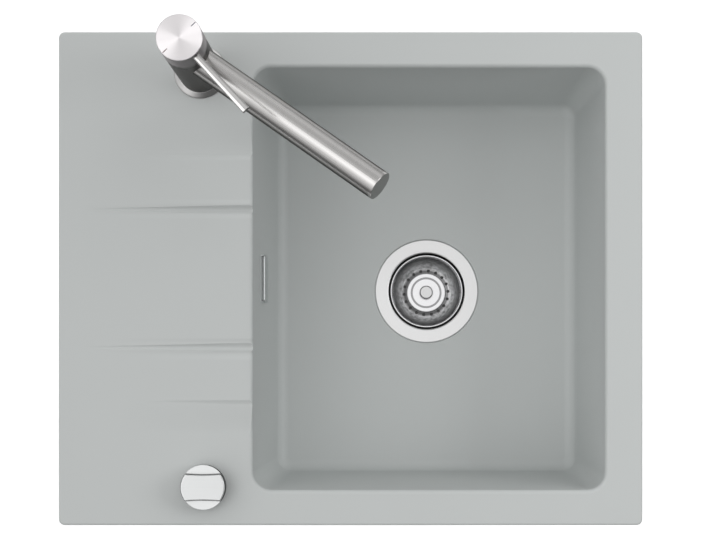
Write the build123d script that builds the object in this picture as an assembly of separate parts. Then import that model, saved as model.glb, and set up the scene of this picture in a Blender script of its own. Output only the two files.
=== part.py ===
from build123d import *
import math
import os

# Inset kitchen sink: moulded bowl and drainer, single-lever tap, basket waste with a rotary control.
# Millimetres. The origin is the centre of the rim on the worktop's top face; +X runs from the drainer
# to the bowl, +Y to the back, +Z up.

# Moulding: rim and deck
sink_length = 580.0
sink_width = 490.0
rim_height = 8.0
rim_corner_radius = 6.0
rim_edge_radius = 2.0
rim_seat = 16.0
deck_drop = 4.0
downstand_depth = 16.0
downstand_wall = 5.0
seal_width = 6.0
seal_depth = 1.5

# Moulding: bowl
bowl_length = 350.0
bowl_side_rim = 37.0
clip_room = 5.0
bowl_depth = 195.0
bowl_side_taper = 13.8
bowl_end_taper = 11.8
bowl_corner_radius = 18.0
bowl_floor_corner_radius = 15.0
bowl_floor_fillet = 12.0
bowl_lip_radius = 4.0
floor_slope = 0.9
shell_wall = 9.0
floor_thickness = 11.0

# Moulding: drainer
groove_spacing = 137.0
groove_length = 182.0
groove_width = 12.0
groove_depth = 2.6
valley_spacing = 239.0
valley_length = 120.0
valley_width = 40.0
valley_step = 6.0
valley_depth = 1.5
rib_thickness = 8.0
rib_depth = 10.0

# Tap and control holes in the deck
tap_edge = 40.2
tap_bowl_gap = 52.0
control_edge = 38.4
control_bowl_gap = 48.0
fixture_hole_diameter = 35.0
fixture_boss_diameter = 56.0

# Worktop clips
worktop_thickness = 38.0
cutout_clearance = 3.0
clip_width = 18.0
clip_strip = 2.0
clip_screw_diameter = 6.0
clip_screw_length = 26.0
clip_slot_height = 3.0
clip_slot_drop = 11.0
clip_long_side = (-0.40, -0.03, 0.33)
clip_short_side = (-0.29, 0.29)

# Overflow
overflow_drop = 66.0
overflow_back = 3.2
overflow_slot_length = 44.0
overflow_slot_height = 12.0
cover_length = 49.0
cover_height = 22.0
cover_depth = 4.6
cover_sheet = 1.4
overflow_seal_thickness = 2.0
overflow_box_length = 60.0
overflow_box_height = 34.0
overflow_box_depth = 32.0
overflow_ear_pitch = 72.0
overflow_ear_width = 14.0
overflow_ear_thickness = 5.0
overflow_screw_diameter = 4.0
spigot_length = 16.0
pipe_diameter = 22.0
pipe_wall = 2.0
pipe_bend_radius = 28.0
pipe_nut_diameter = 33.0
pipe_nut_length = 16.0

# Waste
waste_side = 0.5
waste_forward = 2.9
waste_hole_diameter = 90.0
flange_diameter = 113.0
flange_thickness = 1.2
flange_rebate = 1.5
flange_seal_thickness = 1.5
cup_diameter = 83.0
cup_lip = 1.2
cup_wall = 1.0
cup_depth = 43.0
cup_opening_diameter = 34.0
body_seal_thickness = 3.0
body_wall = 3.5
chamber_diameter = 66.0
chamber_depth = 38.0
hub_diameter = 16.0
hub_height = 13.0
hub_gap = 4.0
spoke_width = 4.0
spoke_height = 9.0
port_drop = 57.0
port_length = 22.0
outlet_thread_diameter = 47.8
outlet_bore_diameter = 40.0
outlet_length = 24.0

# Lift gear under the basket
lift_travel = 8.0
lift_pin_diameter = 5.0
clamp_screw_diameter = 8.0
rocker_length = 18.0
rocker_shaft_diameter = 7.0
rocker_tip_radius = 3.0
crank_length = 18.0
cable_stop_reach = 32.0
lift_room = 3.0
running_fit = 0.05
running_gap = 0.3

# Strainer basket
basket_rim_diameter = 79.0
basket_floor_diameter = 55.0
basket_height = 36.0
basket_sheet = 0.9
basket_rim_drop = 2.2
strainer_hole_count = 18
strainer_hole_diameter = 3.4
strainer_circle_diameter = 48.6
strainer_turn = 4.0
plug_diameter = 42.0
plug_rise = 4.0
plug_groove_diameter = 32.0
button_diameter = 14.4
button_height = 12.0

# Rotary control
knob_diameter = 44.0
knob_height = 16.5
knob_web = 24.4
knob_web_flare = 1.3
knob_recess = 6.5
knob_crease_width = 0.9
knob_crease_depth = 1.6
knob_screw_diameter = 3.0
collar_seal_thickness = 1.0
collar_height = 4.0
collar_diameter = 43.0
neck_diameter = 30.0
spindle_diameter = 8.0
housing_diameter = 42.0
housing_height = 27.0
housing_wall = 4.0
control_washer_thickness = 3.0
drum_diameter = 27.0
drum_height = 10.0
cover_thickness = 3.0
cover_screw_diameter = 2.5
cover_screw_grip = 8.0

# Tap column
tap_height = 193.5
column_diameter = 42.0
sleeve_wall = 2.1
base_ring_diameter = 52.6
base_ring_height = 5.2
base_seal_thickness = 0.8
slide_ring_thickness = 1.7
tap_collar_height = 6.0
cap_height = 38.4
cap_gap = 0.6
pivot_rise = 4.4
dome_diameter = 35.2
dome_wall = 2.0
cartridge_diameter = 28.0
inlet_diameter = 10.0
inlet_depth = 14.0
inlet_pitch = 16.0
outlet_way_diameter = 6.0
tap_foot_drop = 6.0
stud_diameter = 8.0
stud_grip = 10.0
stud_length = 76.0
stud_offset = 10.0
stud_nut_length = 14.0
horseshoe_thickness = 3.0
ring_section = 2.2

# Tap spout
spout_azimuth = -36.0
spout_rise = 13.6
spout_reach = 222.0
spout_root_height = 114.0
spout_diameter = 28.0
spout_wall = 1.5
outlet_setback = 24.0
nozzle_diameter = 22.0
nozzle_wall = 2.0
nozzle_drop = 6.0

# Tap lever
lever_azimuth = -47.0
lever_tilt = 20.0
lever_reach = 87.4
lever_root_width = 6.4
lever_tip_width = 7.8
lever_thickness = 6.0
lever_drop = 10.0
stem_width = 7.0
stem_pin_diameter = 3.0
lever_screw_diameter = 5.0

# Derived positions
deck_top = rim_height
bowl_x = sink_length / 2 - bowl_side_rim - bowl_length / 2
bowl_left = bowl_x - bowl_length / 2
bowl_width = sink_width - 2 * (rim_seat + downstand_wall + clip_room + shell_wall)
floor_z = deck_top - bowl_depth
underside_z = floor_z - floor_thickness
waste_x = bowl_x + waste_side
waste_y = -waste_forward
fixture_underside = -downstand_depth
flange_top = floor_z - flange_rebate + flange_seal_thickness + flange_thickness
tap_place = Pos(bowl_left - tap_bowl_gap, sink_width / 2 - tap_edge, deck_top)
control_place = Pos(bowl_left - control_bowl_gap, control_edge - sink_width / 2, deck_top)
waste_place = Pos(waste_x, waste_y, flange_top)


def disc(radius, low, high):
    """Cylinder about Z between two heights."""
    return Pos(0, 0, low) * Cylinder(radius, high - low, align=(Align.CENTER, Align.CENTER, Align.MIN))


def ring(outer, inner, low, high):
    """Straight ring about Z between two heights."""
    return disc(outer, low, high) - disc(inner, low, high)


def block(x0, x1, y0, y1, z0, z1):
    """Box between two corners."""
    return Pos((x0 + x1) / 2, (y0 + y1) / 2, (z0 + z1) / 2) * Box(x1 - x0, y1 - y0, z1 - z0)


def slab(length, width, radius, low, high):
    """Plate with rounded corners, centred on Z."""
    return Pos(0, 0, low) * extrude(RectangleRounded(length, width, radius), high - low)


def turned(*points):
    """Solid of revolution about Z from (radius, height) points."""
    return revolve(Plane.XZ * make_face(Polyline(*points, close=True)), Axis.Z)


def rod(start, end, radius):
    """Cylinder between two points."""
    axis = Vector(*end) - Vector(*start)
    return extrude(Plane(origin=start, z_dir=axis) * Circle(radius), axis.length)


def arms(count, start, reach, width, low, high):
    """Straight arms leaving Z, the first at an angle of start degrees."""
    arm = block(0, reach, -width / 2, width / 2, low, high)
    return [Rot(0, 0, start + i * 360 / count) * arm for i in range(count)]


# Sink moulding

def bowl_solid(grow, low, high):
    """Tapered bowl between two heights, its walls moved outwards by grow."""

    def section(z):
        t = (deck_top - z) / bowl_depth
        length = bowl_length - 2 * bowl_side_taper * t + 2 * grow
        width = bowl_width - 2 * bowl_end_taper * t + 2 * grow
        radius = bowl_corner_radius + (bowl_floor_corner_radius - bowl_corner_radius) * t + grow
        return Pos(bowl_x, 0, z) * RectangleRounded(length, width, radius)

    return loft([section(low), section(high)], ruled=True)


def bowl_void():
    """Inside of the bowl, with its floor falling to the waste."""
    run = bowl_width
    rise = run * math.tan(math.radians(floor_slope))
    below = floor_z - 5
    void = bowl_solid(0, floor_z - 1, deck_top)
    void -= Pos(waste_x, waste_y, 0) * turned((0, below), (run, below), (run, floor_z + rise), (0, floor_z))
    foot = void.edges().filter_by(lambda edge: edge.bounding_box().max.Z < floor_z + 2 * rise)
    return fillet(foot, min(bowl_floor_fillet, 0.8 * bowl_floor_corner_radius))


def across_deck(x):
    """Plane square to X, its own x along Y and its own y up from the deck."""
    return Plane(origin=(x, 0, deck_top), x_dir=(0, 1, 0), z_dir=(1, 0, 0))


def soft_step(width, depth, lift):
    """S-shaped line of two arcs, from the deck at 0 down to depth at width."""
    middle = (width / 2, lift - depth / 2)
    return [
        TangentArc((0, lift), middle, tangent=(1, 0)),
        TangentArc((width, lift - depth), middle, tangent=(-1, 0)),
    ]


def groove_section(width, depth, lift):
    """Soft-edged groove across the drainer, centred on 0, closed above the deck."""
    half = width / 2
    left = [Pos(-half, 0) * arc for arc in soft_step(half, depth, lift)]
    right = [mirror(arc, about=Plane.YZ) for arc in left]
    lid = Polyline((-half, lift), (-half, rim_height), (half, rim_height), (half, lift))
    return make_face([*left, *right, lid])


def valley_section(step, width, depth, lift):
    """Valley with a soft step at 0 and a long gentle rise, closed above the deck."""
    far = 1.2 * width
    far_lift = lift + (far - width) * depth / (width - step)
    rest = Polyline((step, lift - depth), (far, far_lift), (far, rim_height), (0, rim_height), (0, lift))
    return make_face([*soft_step(step, depth, lift), rest])


def drainer_cuts():
    """Two tapering grooves and two outer valleys that run out into the bowl."""
    mouth = across_deck(bowl_left + bowl_lip_radius + 3)
    edge_lift = 0.06
    groove = loft([
        across_deck(bowl_left - groove_length) * groove_section(groove_width / 3, 0.3, 0.5),
        mouth * groove_section(groove_width, groove_depth, edge_lift),
    ], ruled=True)
    valley_head = across_deck(bowl_left - valley_length)
    valley = loft([
        valley_head * valley_section(valley_step / 2, valley_width / 2, 0.3, 0.4),
        mouth * valley_section(valley_step, valley_width, valley_depth, edge_lift),
    ], ruled=True)
    back = [Pos(0, groove_spacing / 2, 0) * groove, Pos(0, valley_spacing / 2, 0) * valley]
    return back + [mirror(cut, about=Plane.XZ) for cut in back]


def overflow_plane():
    """Plane on the bowl's left wall: its x along Y, its y up the wall, its z into the bowl."""
    x = bowl_left + bowl_side_taper * overflow_drop / bowl_depth
    return Plane(
        origin=(x, overflow_back, deck_top - overflow_drop),
        x_dir=(0, 1, 0),
        z_dir=(bowl_depth, 0, bowl_side_taper),
    )


def clip_places():
    """Placements on the inner face of the downstand, local x pointing outwards."""
    inset = rim_seat + downstand_wall
    side_x = sink_length / 2 - inset
    side_y = sink_width / 2 - inset
    places = []
    for share in clip_long_side:
        places.append(Pos(share * sink_length, side_y, 0) * Rot(0, 0, 90))
        places.append(Pos(share * sink_length, -side_y, 0) * Rot(0, 0, -90))
    for share in clip_short_side:
        places.append(Pos(side_x, share * sink_width, 0))
        places.append(Pos(-side_x, share * sink_width, 0) * Rot(0, 0, 180))
    return places


def seal_ring(depth):
    """Flat ring that follows the rim's underside."""
    inset = rim_seat / 2 - seal_width / 2
    outer = slab(sink_length - 2 * inset, sink_width - 2 * inset, rim_corner_radius, 0, depth)
    inset += seal_width
    return outer - slab(sink_length - 2 * inset, sink_width - 2 * inset, rim_corner_radius, 0, depth)


def sink_moulding():
    """Rim, deck, drainer and bowl in one moulding, with its seats and holes."""
    rim = slab(sink_length, sink_width, rim_corner_radius, 0, rim_height)
    rim = fillet(rim.edges().group_by(Axis.Z)[-1], rim_edge_radius)
    seat = 2 * rim_seat
    inner = seat + 2 * downstand_wall
    skirt = slab(sink_length - seat, sink_width - seat, rim_corner_radius, -downstand_depth, 0)
    boss = disc(fixture_boss_diameter / 2, fixture_underside - deck_top, -deck_drop - deck_top)
    bosses = (tap_place * boss + control_place * boss) & skirt
    corner = rim_corner_radius / 2
    skirt -= slab(sink_length - inner, sink_width - inner, corner, -downstand_depth, -deck_drop)
    shell = bowl_solid(shell_wall, underside_z, -deck_drop)
    shell = fillet(shell.edges().group_by(Axis.Z)[0], bowl_floor_fillet)
    body = rim + skirt + shell + bosses
    rib_start = -sink_length / 2 + rim_seat
    rib_end = bowl_left - shell_wall / 2
    half = rib_thickness / 2
    rib = block(rib_start, rib_end, -half, half, -deck_drop - rib_depth, -deck_drop)
    for side in (1, -1):
        body += Pos(0, side * groove_spacing / 2, 0) * rib
    body -= bowl_void()
    lip = body.edges().filter_by(
        lambda edge: edge.bounding_box().min.Z > deck_top - 0.01
        and abs(edge.center().X - bowl_x) < bowl_length / 2 + 1
        and abs(edge.center().Y) < bowl_width / 2 + 1
    )
    body = fillet(lip, bowl_lip_radius)
    for cut in drainer_cuts():
        body -= cut
    hole = disc(fixture_hole_diameter / 2, fixture_underside - deck_top, 0)
    body -= tap_place * hole + control_place * hole
    body -= Pos(waste_x, waste_y, 0) * disc(waste_hole_diameter / 2, underside_z, floor_z + 1)
    body -= Pos(waste_x, waste_y, 0) * disc(flange_diameter / 2 + 1.5, floor_z - flange_rebate, floor_z + 1)
    slot = extrude(SlotOverall(overflow_slot_length, overflow_slot_height), shell_wall + 2)
    body -= overflow_plane() * Pos(0, 0, -shell_wall - 1) * slot
    screw_hole = disc(overflow_screw_diameter / 2, -shell_wall - 1, 2 - shell_wall / 2)
    for place in overflow_screw_points():
        body -= overflow_plane() * place * screw_hole
    half = clip_width / 2 + 1
    high = -clip_slot_drop + clip_slot_height / 2
    for place in clip_places():
        body -= place * block(-1, downstand_wall + 1, -half, half, high - clip_slot_height, high)
    return body - seal_ring(seal_depth)


# Worktop clips

def clip_bracket():
    """Bent strip: a tab through the downstand, a long leg, and a foot under the worktop."""
    half = clip_width / 2
    tab_top = -clip_slot_drop + clip_strip / 2
    foot_top = -worktop_thickness - 10
    foot_end = downstand_wall + rim_seat - 0.5
    body = block(-clip_strip, 0, -half, half, foot_top - clip_strip, tab_top)
    body += block(-clip_strip, downstand_wall, -half, half, tab_top - clip_strip, tab_top)
    body += block(-clip_strip, foot_end, -half, half, foot_top - clip_strip, foot_top)
    body = fillet(body.edges().filter_by(Axis.Z).group_by(Axis.X)[-1], clip_width / 4)
    thread = clip_screw_diameter / 2
    collar = Pos(clip_screw_x(), 0, 0) * disc(thread + 2, foot_top - clip_strip, foot_top + 3)
    return body + collar - Pos(clip_screw_x(), 0, 0) * disc(thread, foot_top - 5, foot_top + 5)


def clip_screw_x():
    """Distance of the clip's screw from the downstand's inner face."""
    return downstand_wall + (cutout_clearance + rim_seat) / 2


def clip_jaw():
    """Cap on the screw's tip that bears on the worktop's underside."""
    radius = (rim_seat - cutout_clearance) / 2 - 0.3
    body = disc(radius, -worktop_thickness - 3, -worktop_thickness)
    body += disc(clip_screw_diameter / 2 + 2, -worktop_thickness - 6, -worktop_thickness - 3)
    socket = disc(clip_screw_diameter / 2, -worktop_thickness - 6, -worktop_thickness - 2)
    return Pos(clip_screw_x(), 0, 0) * (body - socket)


def clip_screw():
    """Clamp screw with a slotted head."""
    tip = -worktop_thickness - 2
    head = tip - clip_screw_length
    body = disc(clip_screw_diameter / 2, head, tip)
    body += disc(clip_screw_diameter * 0.9, head - 4, head)
    body -= block(-clip_screw_diameter, clip_screw_diameter, -0.6, 0.6, head - 4, head - 2.4)
    return Pos(clip_screw_x(), 0, 0) * body


def on_clips(piece):
    """One copy of a clip's piece at each clip."""
    return Compound(children=[place * piece for place in clip_places()])


# Overflow, built on the plane of the bowl's left wall

def overflow_cover():
    """Shallow cover with open top and bottom, its tongue hooked behind the wall."""
    cover = extrude(RectangleRounded(cover_length, cover_height, 3), cover_depth)
    cover = fillet(cover.edges().group_by(Axis.Z)[-1], 1.2)
    inside = cover_length / 2 - cover_sheet
    cover -= block(-inside, inside, -cover_height, cover_height, 0, cover_depth - cover_sheet)
    root = cover_depth - cover_sheet
    tongue_end = -shell_wall - 3
    cover += block(-7, 7, -1.5, 1.5, tongue_end, root)
    cover += block(-7, 7, -1.5, overflow_slot_height / 2 - 1, tongue_end, -shell_wall - 0.5)
    return overflow_plane() * cover


def overflow_face():
    """Outline of the housing's foot, with its two ears."""
    ears = SlotOverall(overflow_ear_pitch + overflow_ear_width, overflow_ear_width)
    return ears + RectangleRounded(overflow_box_length, overflow_box_height, 5)


def overflow_mouth():
    """Opening behind the slot."""
    return RectangleRounded(overflow_box_length - 10, overflow_box_height - 10, 4)


def overflow_screw_points():
    """Places of the two housing screws on the wall."""
    return [Pos(side * overflow_ear_pitch / 2, 0, 0) for side in (1, -1)]


def overflow_seal():
    """Flat seal between the wall and the housing."""
    seal = extrude(overflow_face() - overflow_mouth(), overflow_seal_thickness)
    for place in overflow_screw_points():
        seal -= place * disc(overflow_screw_diameter / 2 + 0.5, 0, overflow_seal_thickness)
    return overflow_plane() * Pos(0, 0, -shell_wall - overflow_seal_thickness) * seal


def spigot_axis():
    """Distance of the overflow spigot's axis behind the wall."""
    return -shell_wall - overflow_seal_thickness - overflow_box_depth / 2


def spigot_side():
    """Sideways distance of the overflow spigot from the slot, in line with the waste."""
    return waste_y - overflow_back


def spigot_end():
    """Lower end of the overflow spigot, measured down the wall."""
    return -overflow_box_height / 2 - spigot_length


def overflow_housing():
    """Moulded box behind the slot with a spigot down the wall."""
    front = -shell_wall - overflow_seal_thickness
    back = front - overflow_box_depth
    box = extrude(RectangleRounded(overflow_box_length, overflow_box_height, 5), overflow_box_depth)
    box = Pos(0, 0, back) * fillet(box.edges().group_by(Axis.Z)[0], 4)
    body = box + Pos(0, 0, front - overflow_ear_thickness) * extrude(overflow_face(), overflow_ear_thickness)
    start = (spigot_side(), 0, spigot_axis())
    end = (spigot_side(), spigot_end(), spigot_axis())
    body += rod(start, end, pipe_diameter / 2)
    body -= Pos(0, 0, back + 4) * extrude(overflow_mouth(), overflow_box_depth - 4)
    body -= rod(start, end, pipe_diameter / 2 - pipe_wall)
    for place in overflow_screw_points():
        body -= place * disc(overflow_screw_diameter / 2 + 0.5, back, front)
    return overflow_plane() * body


def overflow_screws():
    """Two pan-head screws that hold the housing."""
    seat = -shell_wall - overflow_seal_thickness - overflow_ear_thickness
    screw = disc(overflow_screw_diameter / 2, seat, -shell_wall / 2)
    screw += turned((0, seat - 2.6), (2.4, seat - 2.6), (4, seat - 1.4), (4, seat), (0, seat))
    screw -= block(-3, 3, -0.5, 0.5, seat - 3, seat - 1.4)
    return Compound(children=[overflow_plane() * place * screw for place in overflow_screw_points()])


def port_end():
    """Outer end of the waste body's overflow port, measured from the waste's axis."""
    return chamber_diameter / 2 + body_wall + port_length


def pipe_points():
    """Corner points of the overflow pipe's axis."""
    top = overflow_plane().from_local_coords((spigot_side(), spigot_end(), spigot_axis()))
    low = flange_top - port_drop
    corner_x = top.X + (top.Z - low) * bowl_side_taper / bowl_depth
    return [(top.X, waste_y, top.Z), (corner_x, waste_y, low), (waste_x - port_end(), waste_y, low)]


def overflow_pipe():
    """Bent pipe from the overflow housing to the waste body."""
    points = pipe_points()
    path = FilletPolyline(*points, radius=pipe_bend_radius)
    outer = pipe_diameter / 2
    down = Vector(*points[1]) - Vector(*points[0])
    start = Plane(origin=points[0], z_dir=down)
    return sweep(start * (Circle(outer) - Circle(outer - pipe_wall)), path=path)


def overflow_nuts():
    """Union nuts over the two ends of the pipe, with grip flats."""
    outer = pipe_nut_diameter / 2
    half = pipe_nut_length / 2
    nut = extrude(RegularPolygon(outer, 12), half, both=True) & disc(outer * 0.985, -half, half)
    nut -= disc(pipe_diameter / 2 + running_fit, -half, half)
    points = pipe_points()
    upper = Plane(origin=points[0], z_dir=Vector(*points[1]) - Vector(*points[0]))
    lower = Plane(origin=points[2], z_dir=(1, 0, 0))
    return Compound(children=[upper * nut, lower * nut])


# Waste, built from the flange's top face on the waste's axis

def cup_floor():
    """Height of the cup's floor underside, where it rests on the waste body."""
    return -cup_depth - flange_thickness


def waste_cup():
    """Pressed steel cup with a wide flange and a spoked opening."""
    inner = cup_diameter / 2
    outer = inner + cup_wall
    rim = flange_diameter / 2
    opening = cup_opening_diameter / 2
    cup = turned(
        (rim, -flange_thickness), (rim, -flange_thickness / 2), (rim - 1.2, 0), (inner + cup_lip, 0),
        (inner + 0.3 * cup_lip, -0.3 * cup_lip), (inner, -cup_lip), (inner, -cup_depth), (opening, -cup_depth),
        (opening, cup_floor()), (outer, cup_floor()), (outer, -flange_thickness),
    )
    for arm in arms(3, 60, opening + 1, spoke_width, cup_floor(), -cup_depth):
        cup += arm
    cup += disc(hub_diameter / 2, cup_floor(), -cup_depth)
    return waste_place * (cup - disc(clamp_screw_diameter / 2, cup_floor(), -cup_depth))


def flange_seal():
    """Seal between the flange and the bowl's floor."""
    low = -flange_thickness - flange_seal_thickness
    return waste_place * ring(flange_diameter / 2 - 1, waste_hole_diameter / 2 + 1, low, -flange_thickness)


def body_top():
    """Height of the waste body's clamping flange."""
    return underside_z - flange_top - body_seal_thickness


def body_seal():
    """Seal between the bowl's underside and the waste body."""
    seal = ring(flange_diameter / 2 - 2, waste_hole_diameter / 2 + 1, body_top(), underside_z - flange_top)
    return waste_place * seal


def hub_bottom():
    """Lower end of the clamp screw's hub in the waste body."""
    return cup_floor() - hub_gap - hub_height


def pin_bottom():
    """Lower end of the lift pin with the basket down."""
    return hub_bottom() - lift_travel - lift_room


def rocker_angle():
    """Angle of the rocker below the horizontal with the basket down, in degrees."""
    return math.degrees(math.asin(lift_travel / 2 / rocker_length))


def shaft_x():
    """Distance of the rocker's shaft from the waste's axis."""
    return -rocker_length * math.cos(math.radians(rocker_angle()))


def shaft_z():
    """Height of the rocker's shaft."""
    return pin_bottom() - running_gap - rocker_tip_radius + lift_travel / 2


def boss_end():
    """Outer end of the rocker's bearing."""
    return -chamber_diameter / 2 - 11


def chamber_floor():
    """Height of the chamber's lower edge, where the outlet is joined on."""
    return cup_floor() - chamber_depth


def waste_body():
    """Moulded waste body: clamping flange, chamber, overflow port, bearing and the clamp screw's hub."""
    upper = cup_diameter / 2 + cup_wall + 1.2
    lower = chamber_diameter / 2
    ledge = cup_floor()
    base = chamber_floor()
    top = body_top()
    rim = flange_diameter / 2 - 2.5
    skin = body_wall
    body = turned(
        (0, top), (rim, top), (rim, top - 5), (upper + skin, top - 7), (upper + skin, ledge + 2),
        (lower + skin, ledge - 6), (lower + skin, base), (0, base),
    )
    port_finish = (-port_end(), 0, -port_drop)
    port = rod((0, 0, -port_drop), port_finish, pipe_diameter / 2)
    shaft_start = (shaft_x(), 0, shaft_z())
    shaft_finish = (shaft_x(), boss_end(), shaft_z())
    bearing = rod(shaft_start, shaft_finish, rocker_shaft_diameter / 2 + 4)
    body += port + bearing
    body -= turned((0, top), (upper, top), (upper, ledge), (lower, ledge), (lower, base), (0, base))
    body -= rod((0, 0, -port_drop), port_finish, pipe_diameter / 2 - pipe_wall)
    body -= rod(shaft_start, shaft_finish, rocker_shaft_diameter / 2 + running_fit)
    hub_top = hub_bottom() + hub_height
    for arm in arms(3, 0, lower + 1, spoke_width, hub_top - spoke_height, hub_top):
        body += arm
    body += disc(hub_diameter / 2, hub_bottom(), hub_top)
    body -= disc(clamp_screw_diameter / 2, hub_bottom(), hub_top)
    return waste_place * (body + cable_stop())


def waste_outlet():
    """Tapering foot of the waste body with the threaded outlet."""
    wide = chamber_diameter / 2
    thread = outlet_thread_diameter / 2
    bore = outlet_bore_diameter / 2
    base = chamber_floor()
    collar = base - 12
    end = collar - outlet_length
    return waste_place * turned(
        (wide, base), (wide + body_wall, base), (thread + 4, base - 8), (thread + 4, collar), (thread, collar),
        (thread, end), (bore, end), (bore, base - 6),
    )


def cable_stop():
    """Lug beside the crank that takes the end of a pull cable's sheath."""
    x = shaft_x()
    z = shaft_z()
    far = x - cable_stop_reach
    y = boss_end()
    arm = block(far, x - rocker_shaft_diameter / 2 - 1, y, y + 6, z - 4, z + 4)
    lug = block(far, far + 5, y - 9, y + 6, z - crank_length - 5, z + 4)
    lug -= rod((far - 1, y - 4, z - crank_length), (far + 6, y - 4, z - crank_length), 2.6)
    return arm + lug


def clamp_screw():
    """Hollow screw that draws the cup and the waste body together."""
    head = -cup_depth
    screw = disc(clamp_screw_diameter / 2, hub_bottom(), head)
    screw += turned((0, head), (7, head), (7, head + 1.6), (5.6, head + 2.6), (0, head + 2.6))
    screw -= block(-8, 8, -0.8, 0.8, head + 1.4, head + 3)
    return waste_place * (screw - disc(lift_pin_diameter / 2 + running_fit, hub_bottom(), head + 3))


def pin_top():
    """Upper end of the lift pin, where the basket rests on it."""
    return -cup_depth + 4.8


def lift_pin():
    """Pin in the clamp screw that pushes the basket up."""
    pin = disc(lift_pin_diameter / 2, pin_bottom(), pin_top())
    return waste_place * chamfer(pin.edges().group_by(Axis.Z)[-1], 0.6)


def lift_rocker():
    """Shaft through the waste body with a finger under the lift pin."""
    x = shaft_x()
    z = shaft_z()
    tip_z = z - lift_travel / 2
    width = 3.0
    shaft = rod((x, 5, z), (x, boss_end() - 7, z), rocker_shaft_diameter / 2)
    finger = rod((0, width, tip_z), (0, -width, tip_z), rocker_tip_radius)
    bar = Pos(x, 0, z) * Rot(0, rocker_angle(), 0) * block(0, rocker_length, -width, width, -2.4, 2.4)
    return waste_place * (shaft + finger + bar)


def lift_crank():
    """Crank on the outer end of the rocker's shaft, pulled by the control."""
    x = shaft_x()
    z = shaft_z()
    near = boss_end() - running_gap
    far = near - 6
    hub = rod((x, near, z), (x, far, z), rocker_shaft_diameter / 2 + 3)
    arm = block(x - 3, x + 3, far, near, z - crank_length, z)
    eye = rod((x, near, z - crank_length), (x, far, z - crank_length), 4)
    crank = hub + arm + eye - rod((x, near, z - crank_length), (x, far, z - crank_length), 1.6)
    return waste_place * (crank - rod((x, near, z), (x, far, z), rocker_shaft_diameter / 2))


# Strainer basket

def strainer_basket():
    """Pressed basket with a ring of strainer holes round a raised plug disc."""
    sheet = basket_sheet
    rim = basket_rim_diameter / 2
    floor = basket_floor_diameter / 2
    plug = plug_diameter / 2
    groove = plug_groove_diameter / 2
    top = -basket_rim_drop
    bottom = top - basket_height
    raised = bottom + plug_rise
    inside = [
        (rim - 1.2, top), (rim - 2.0, top - 1.4), (floor + 4.0, bottom + 6.5), (floor, bottom + 0.8),
        (plug + 1.0, bottom),
    ]
    disc_top = [
        (plug, raised), (groove + 1, raised), (groove + 0.5, raised - 0.5), (groove - 0.5, raised - 0.5),
        (groove - 1, raised), (0, raised),
    ]
    under = [(0, raised - sheet), (plug - 0.8, raised - sheet), (plug + 0.2, bottom - sheet)]
    outside = [
        (floor + 0.3, bottom + 0.8 - sheet), (floor + 4.8, bottom + 6.1), (rim - 1.2, top - 2.2),
        (rim, top - 1.6), (rim, top - 0.4), (rim - 0.4, top),
    ]
    basket = turned(*inside, *disc_top, *under, *outside)
    hole = disc(strainer_hole_diameter / 2, bottom - 3, bottom + 3)
    for i in range(strainer_hole_count):
        angle = strainer_turn + i * 360 / strainer_hole_count
        basket -= Rot(0, 0, angle) * Pos(strainer_circle_diameter / 2, 0, 0) * hole
    basket += disc(lift_pin_diameter / 2 + 2, pin_top(), raised - sheet / 2)
    return waste_place * basket


def basket_seal():
    """Rubber ring under the plug disc that closes the cup's opening."""
    raised = -basket_rim_drop - basket_height + plug_rise - basket_sheet
    inner = cup_opening_diameter / 2 + 0.5
    outer = plug_diameter / 2 - 0.9
    low = -cup_depth + running_gap
    return waste_place * turned((inner, raised), (outer, raised), (outer + 0.6, low), (inner, low))


def basket_button():
    """Pull button on the plug disc."""
    foot = -basket_rim_drop - basket_height + plug_rise
    radius = button_diameter / 2
    high = foot + button_height
    button = turned(
        (0, foot), (radius - 2.5, foot), (radius - 3, foot + button_height * 0.5),
        (radius, foot + button_height * 0.75), (radius, high - 1), (radius - 1, high), (0, high),
    )
    return waste_place * button


# Rotary control, built from the deck's top face on the control's axis

def knob_bottom():
    """Height of the knob's underside."""
    return collar_seal_thickness + collar_height + 0.5


def housing_top():
    """Height of the control housing's shoulder."""
    return fixture_underside - deck_top - control_washer_thickness


def control_collar_seal():
    """Seal between the collar and the deck."""
    inner = fixture_hole_diameter / 2 + 0.5
    return control_place * ring(collar_diameter / 2 - 1, inner, 0, collar_seal_thickness)


def control_collar():
    """Threaded collar on the deck that clamps the housing's neck."""
    low = collar_seal_thickness
    high = low + collar_height
    outer = collar_diameter / 2
    inner = neck_diameter / 2
    edge = [(outer, high - 1.5), (outer - 1.5, high)]
    return control_place * turned((inner, low), (outer, low), *edge, (inner, high))


def control_washer():
    """Rubber washer between the deck's boss and the housing."""
    high = fixture_underside - deck_top
    return control_place * ring(housing_diameter / 2, neck_diameter / 2 + 0.3, housing_top(), high)


def control_housing():
    """Neck through the deck and the drum's housing under it, with a cable gland."""
    top = housing_top()
    low = top - housing_height
    outer = housing_diameter / 2
    body = disc(neck_diameter / 2, top, collar_seal_thickness + collar_height)
    body += disc(outer, low, top)
    gland_y = drum_diameter / 2 - 1
    gland_z = low + housing_height / 2 - 2
    body += rod((0, gland_y, gland_z), (outer + 12, gland_y, gland_z), 5)
    body -= disc(outer - housing_wall, low, top - 5)
    body -= rod((0, gland_y, gland_z), (outer + 12, gland_y, gland_z), 1.5)
    body -= disc(spindle_diameter / 2 + running_fit, low, collar_seal_thickness + collar_height)
    for place in cover_screw_points():
        body -= place * disc(cover_screw_diameter / 2, low, low + cover_screw_grip)
    return control_place * body


def cover_screw_points():
    """Places of the screws that hold the housing's cover."""
    radius = housing_diameter / 2 - housing_wall / 2
    return [Rot(0, 0, angle) * Pos(radius, 0, 0) for angle in (-60, 180, -120)]


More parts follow.
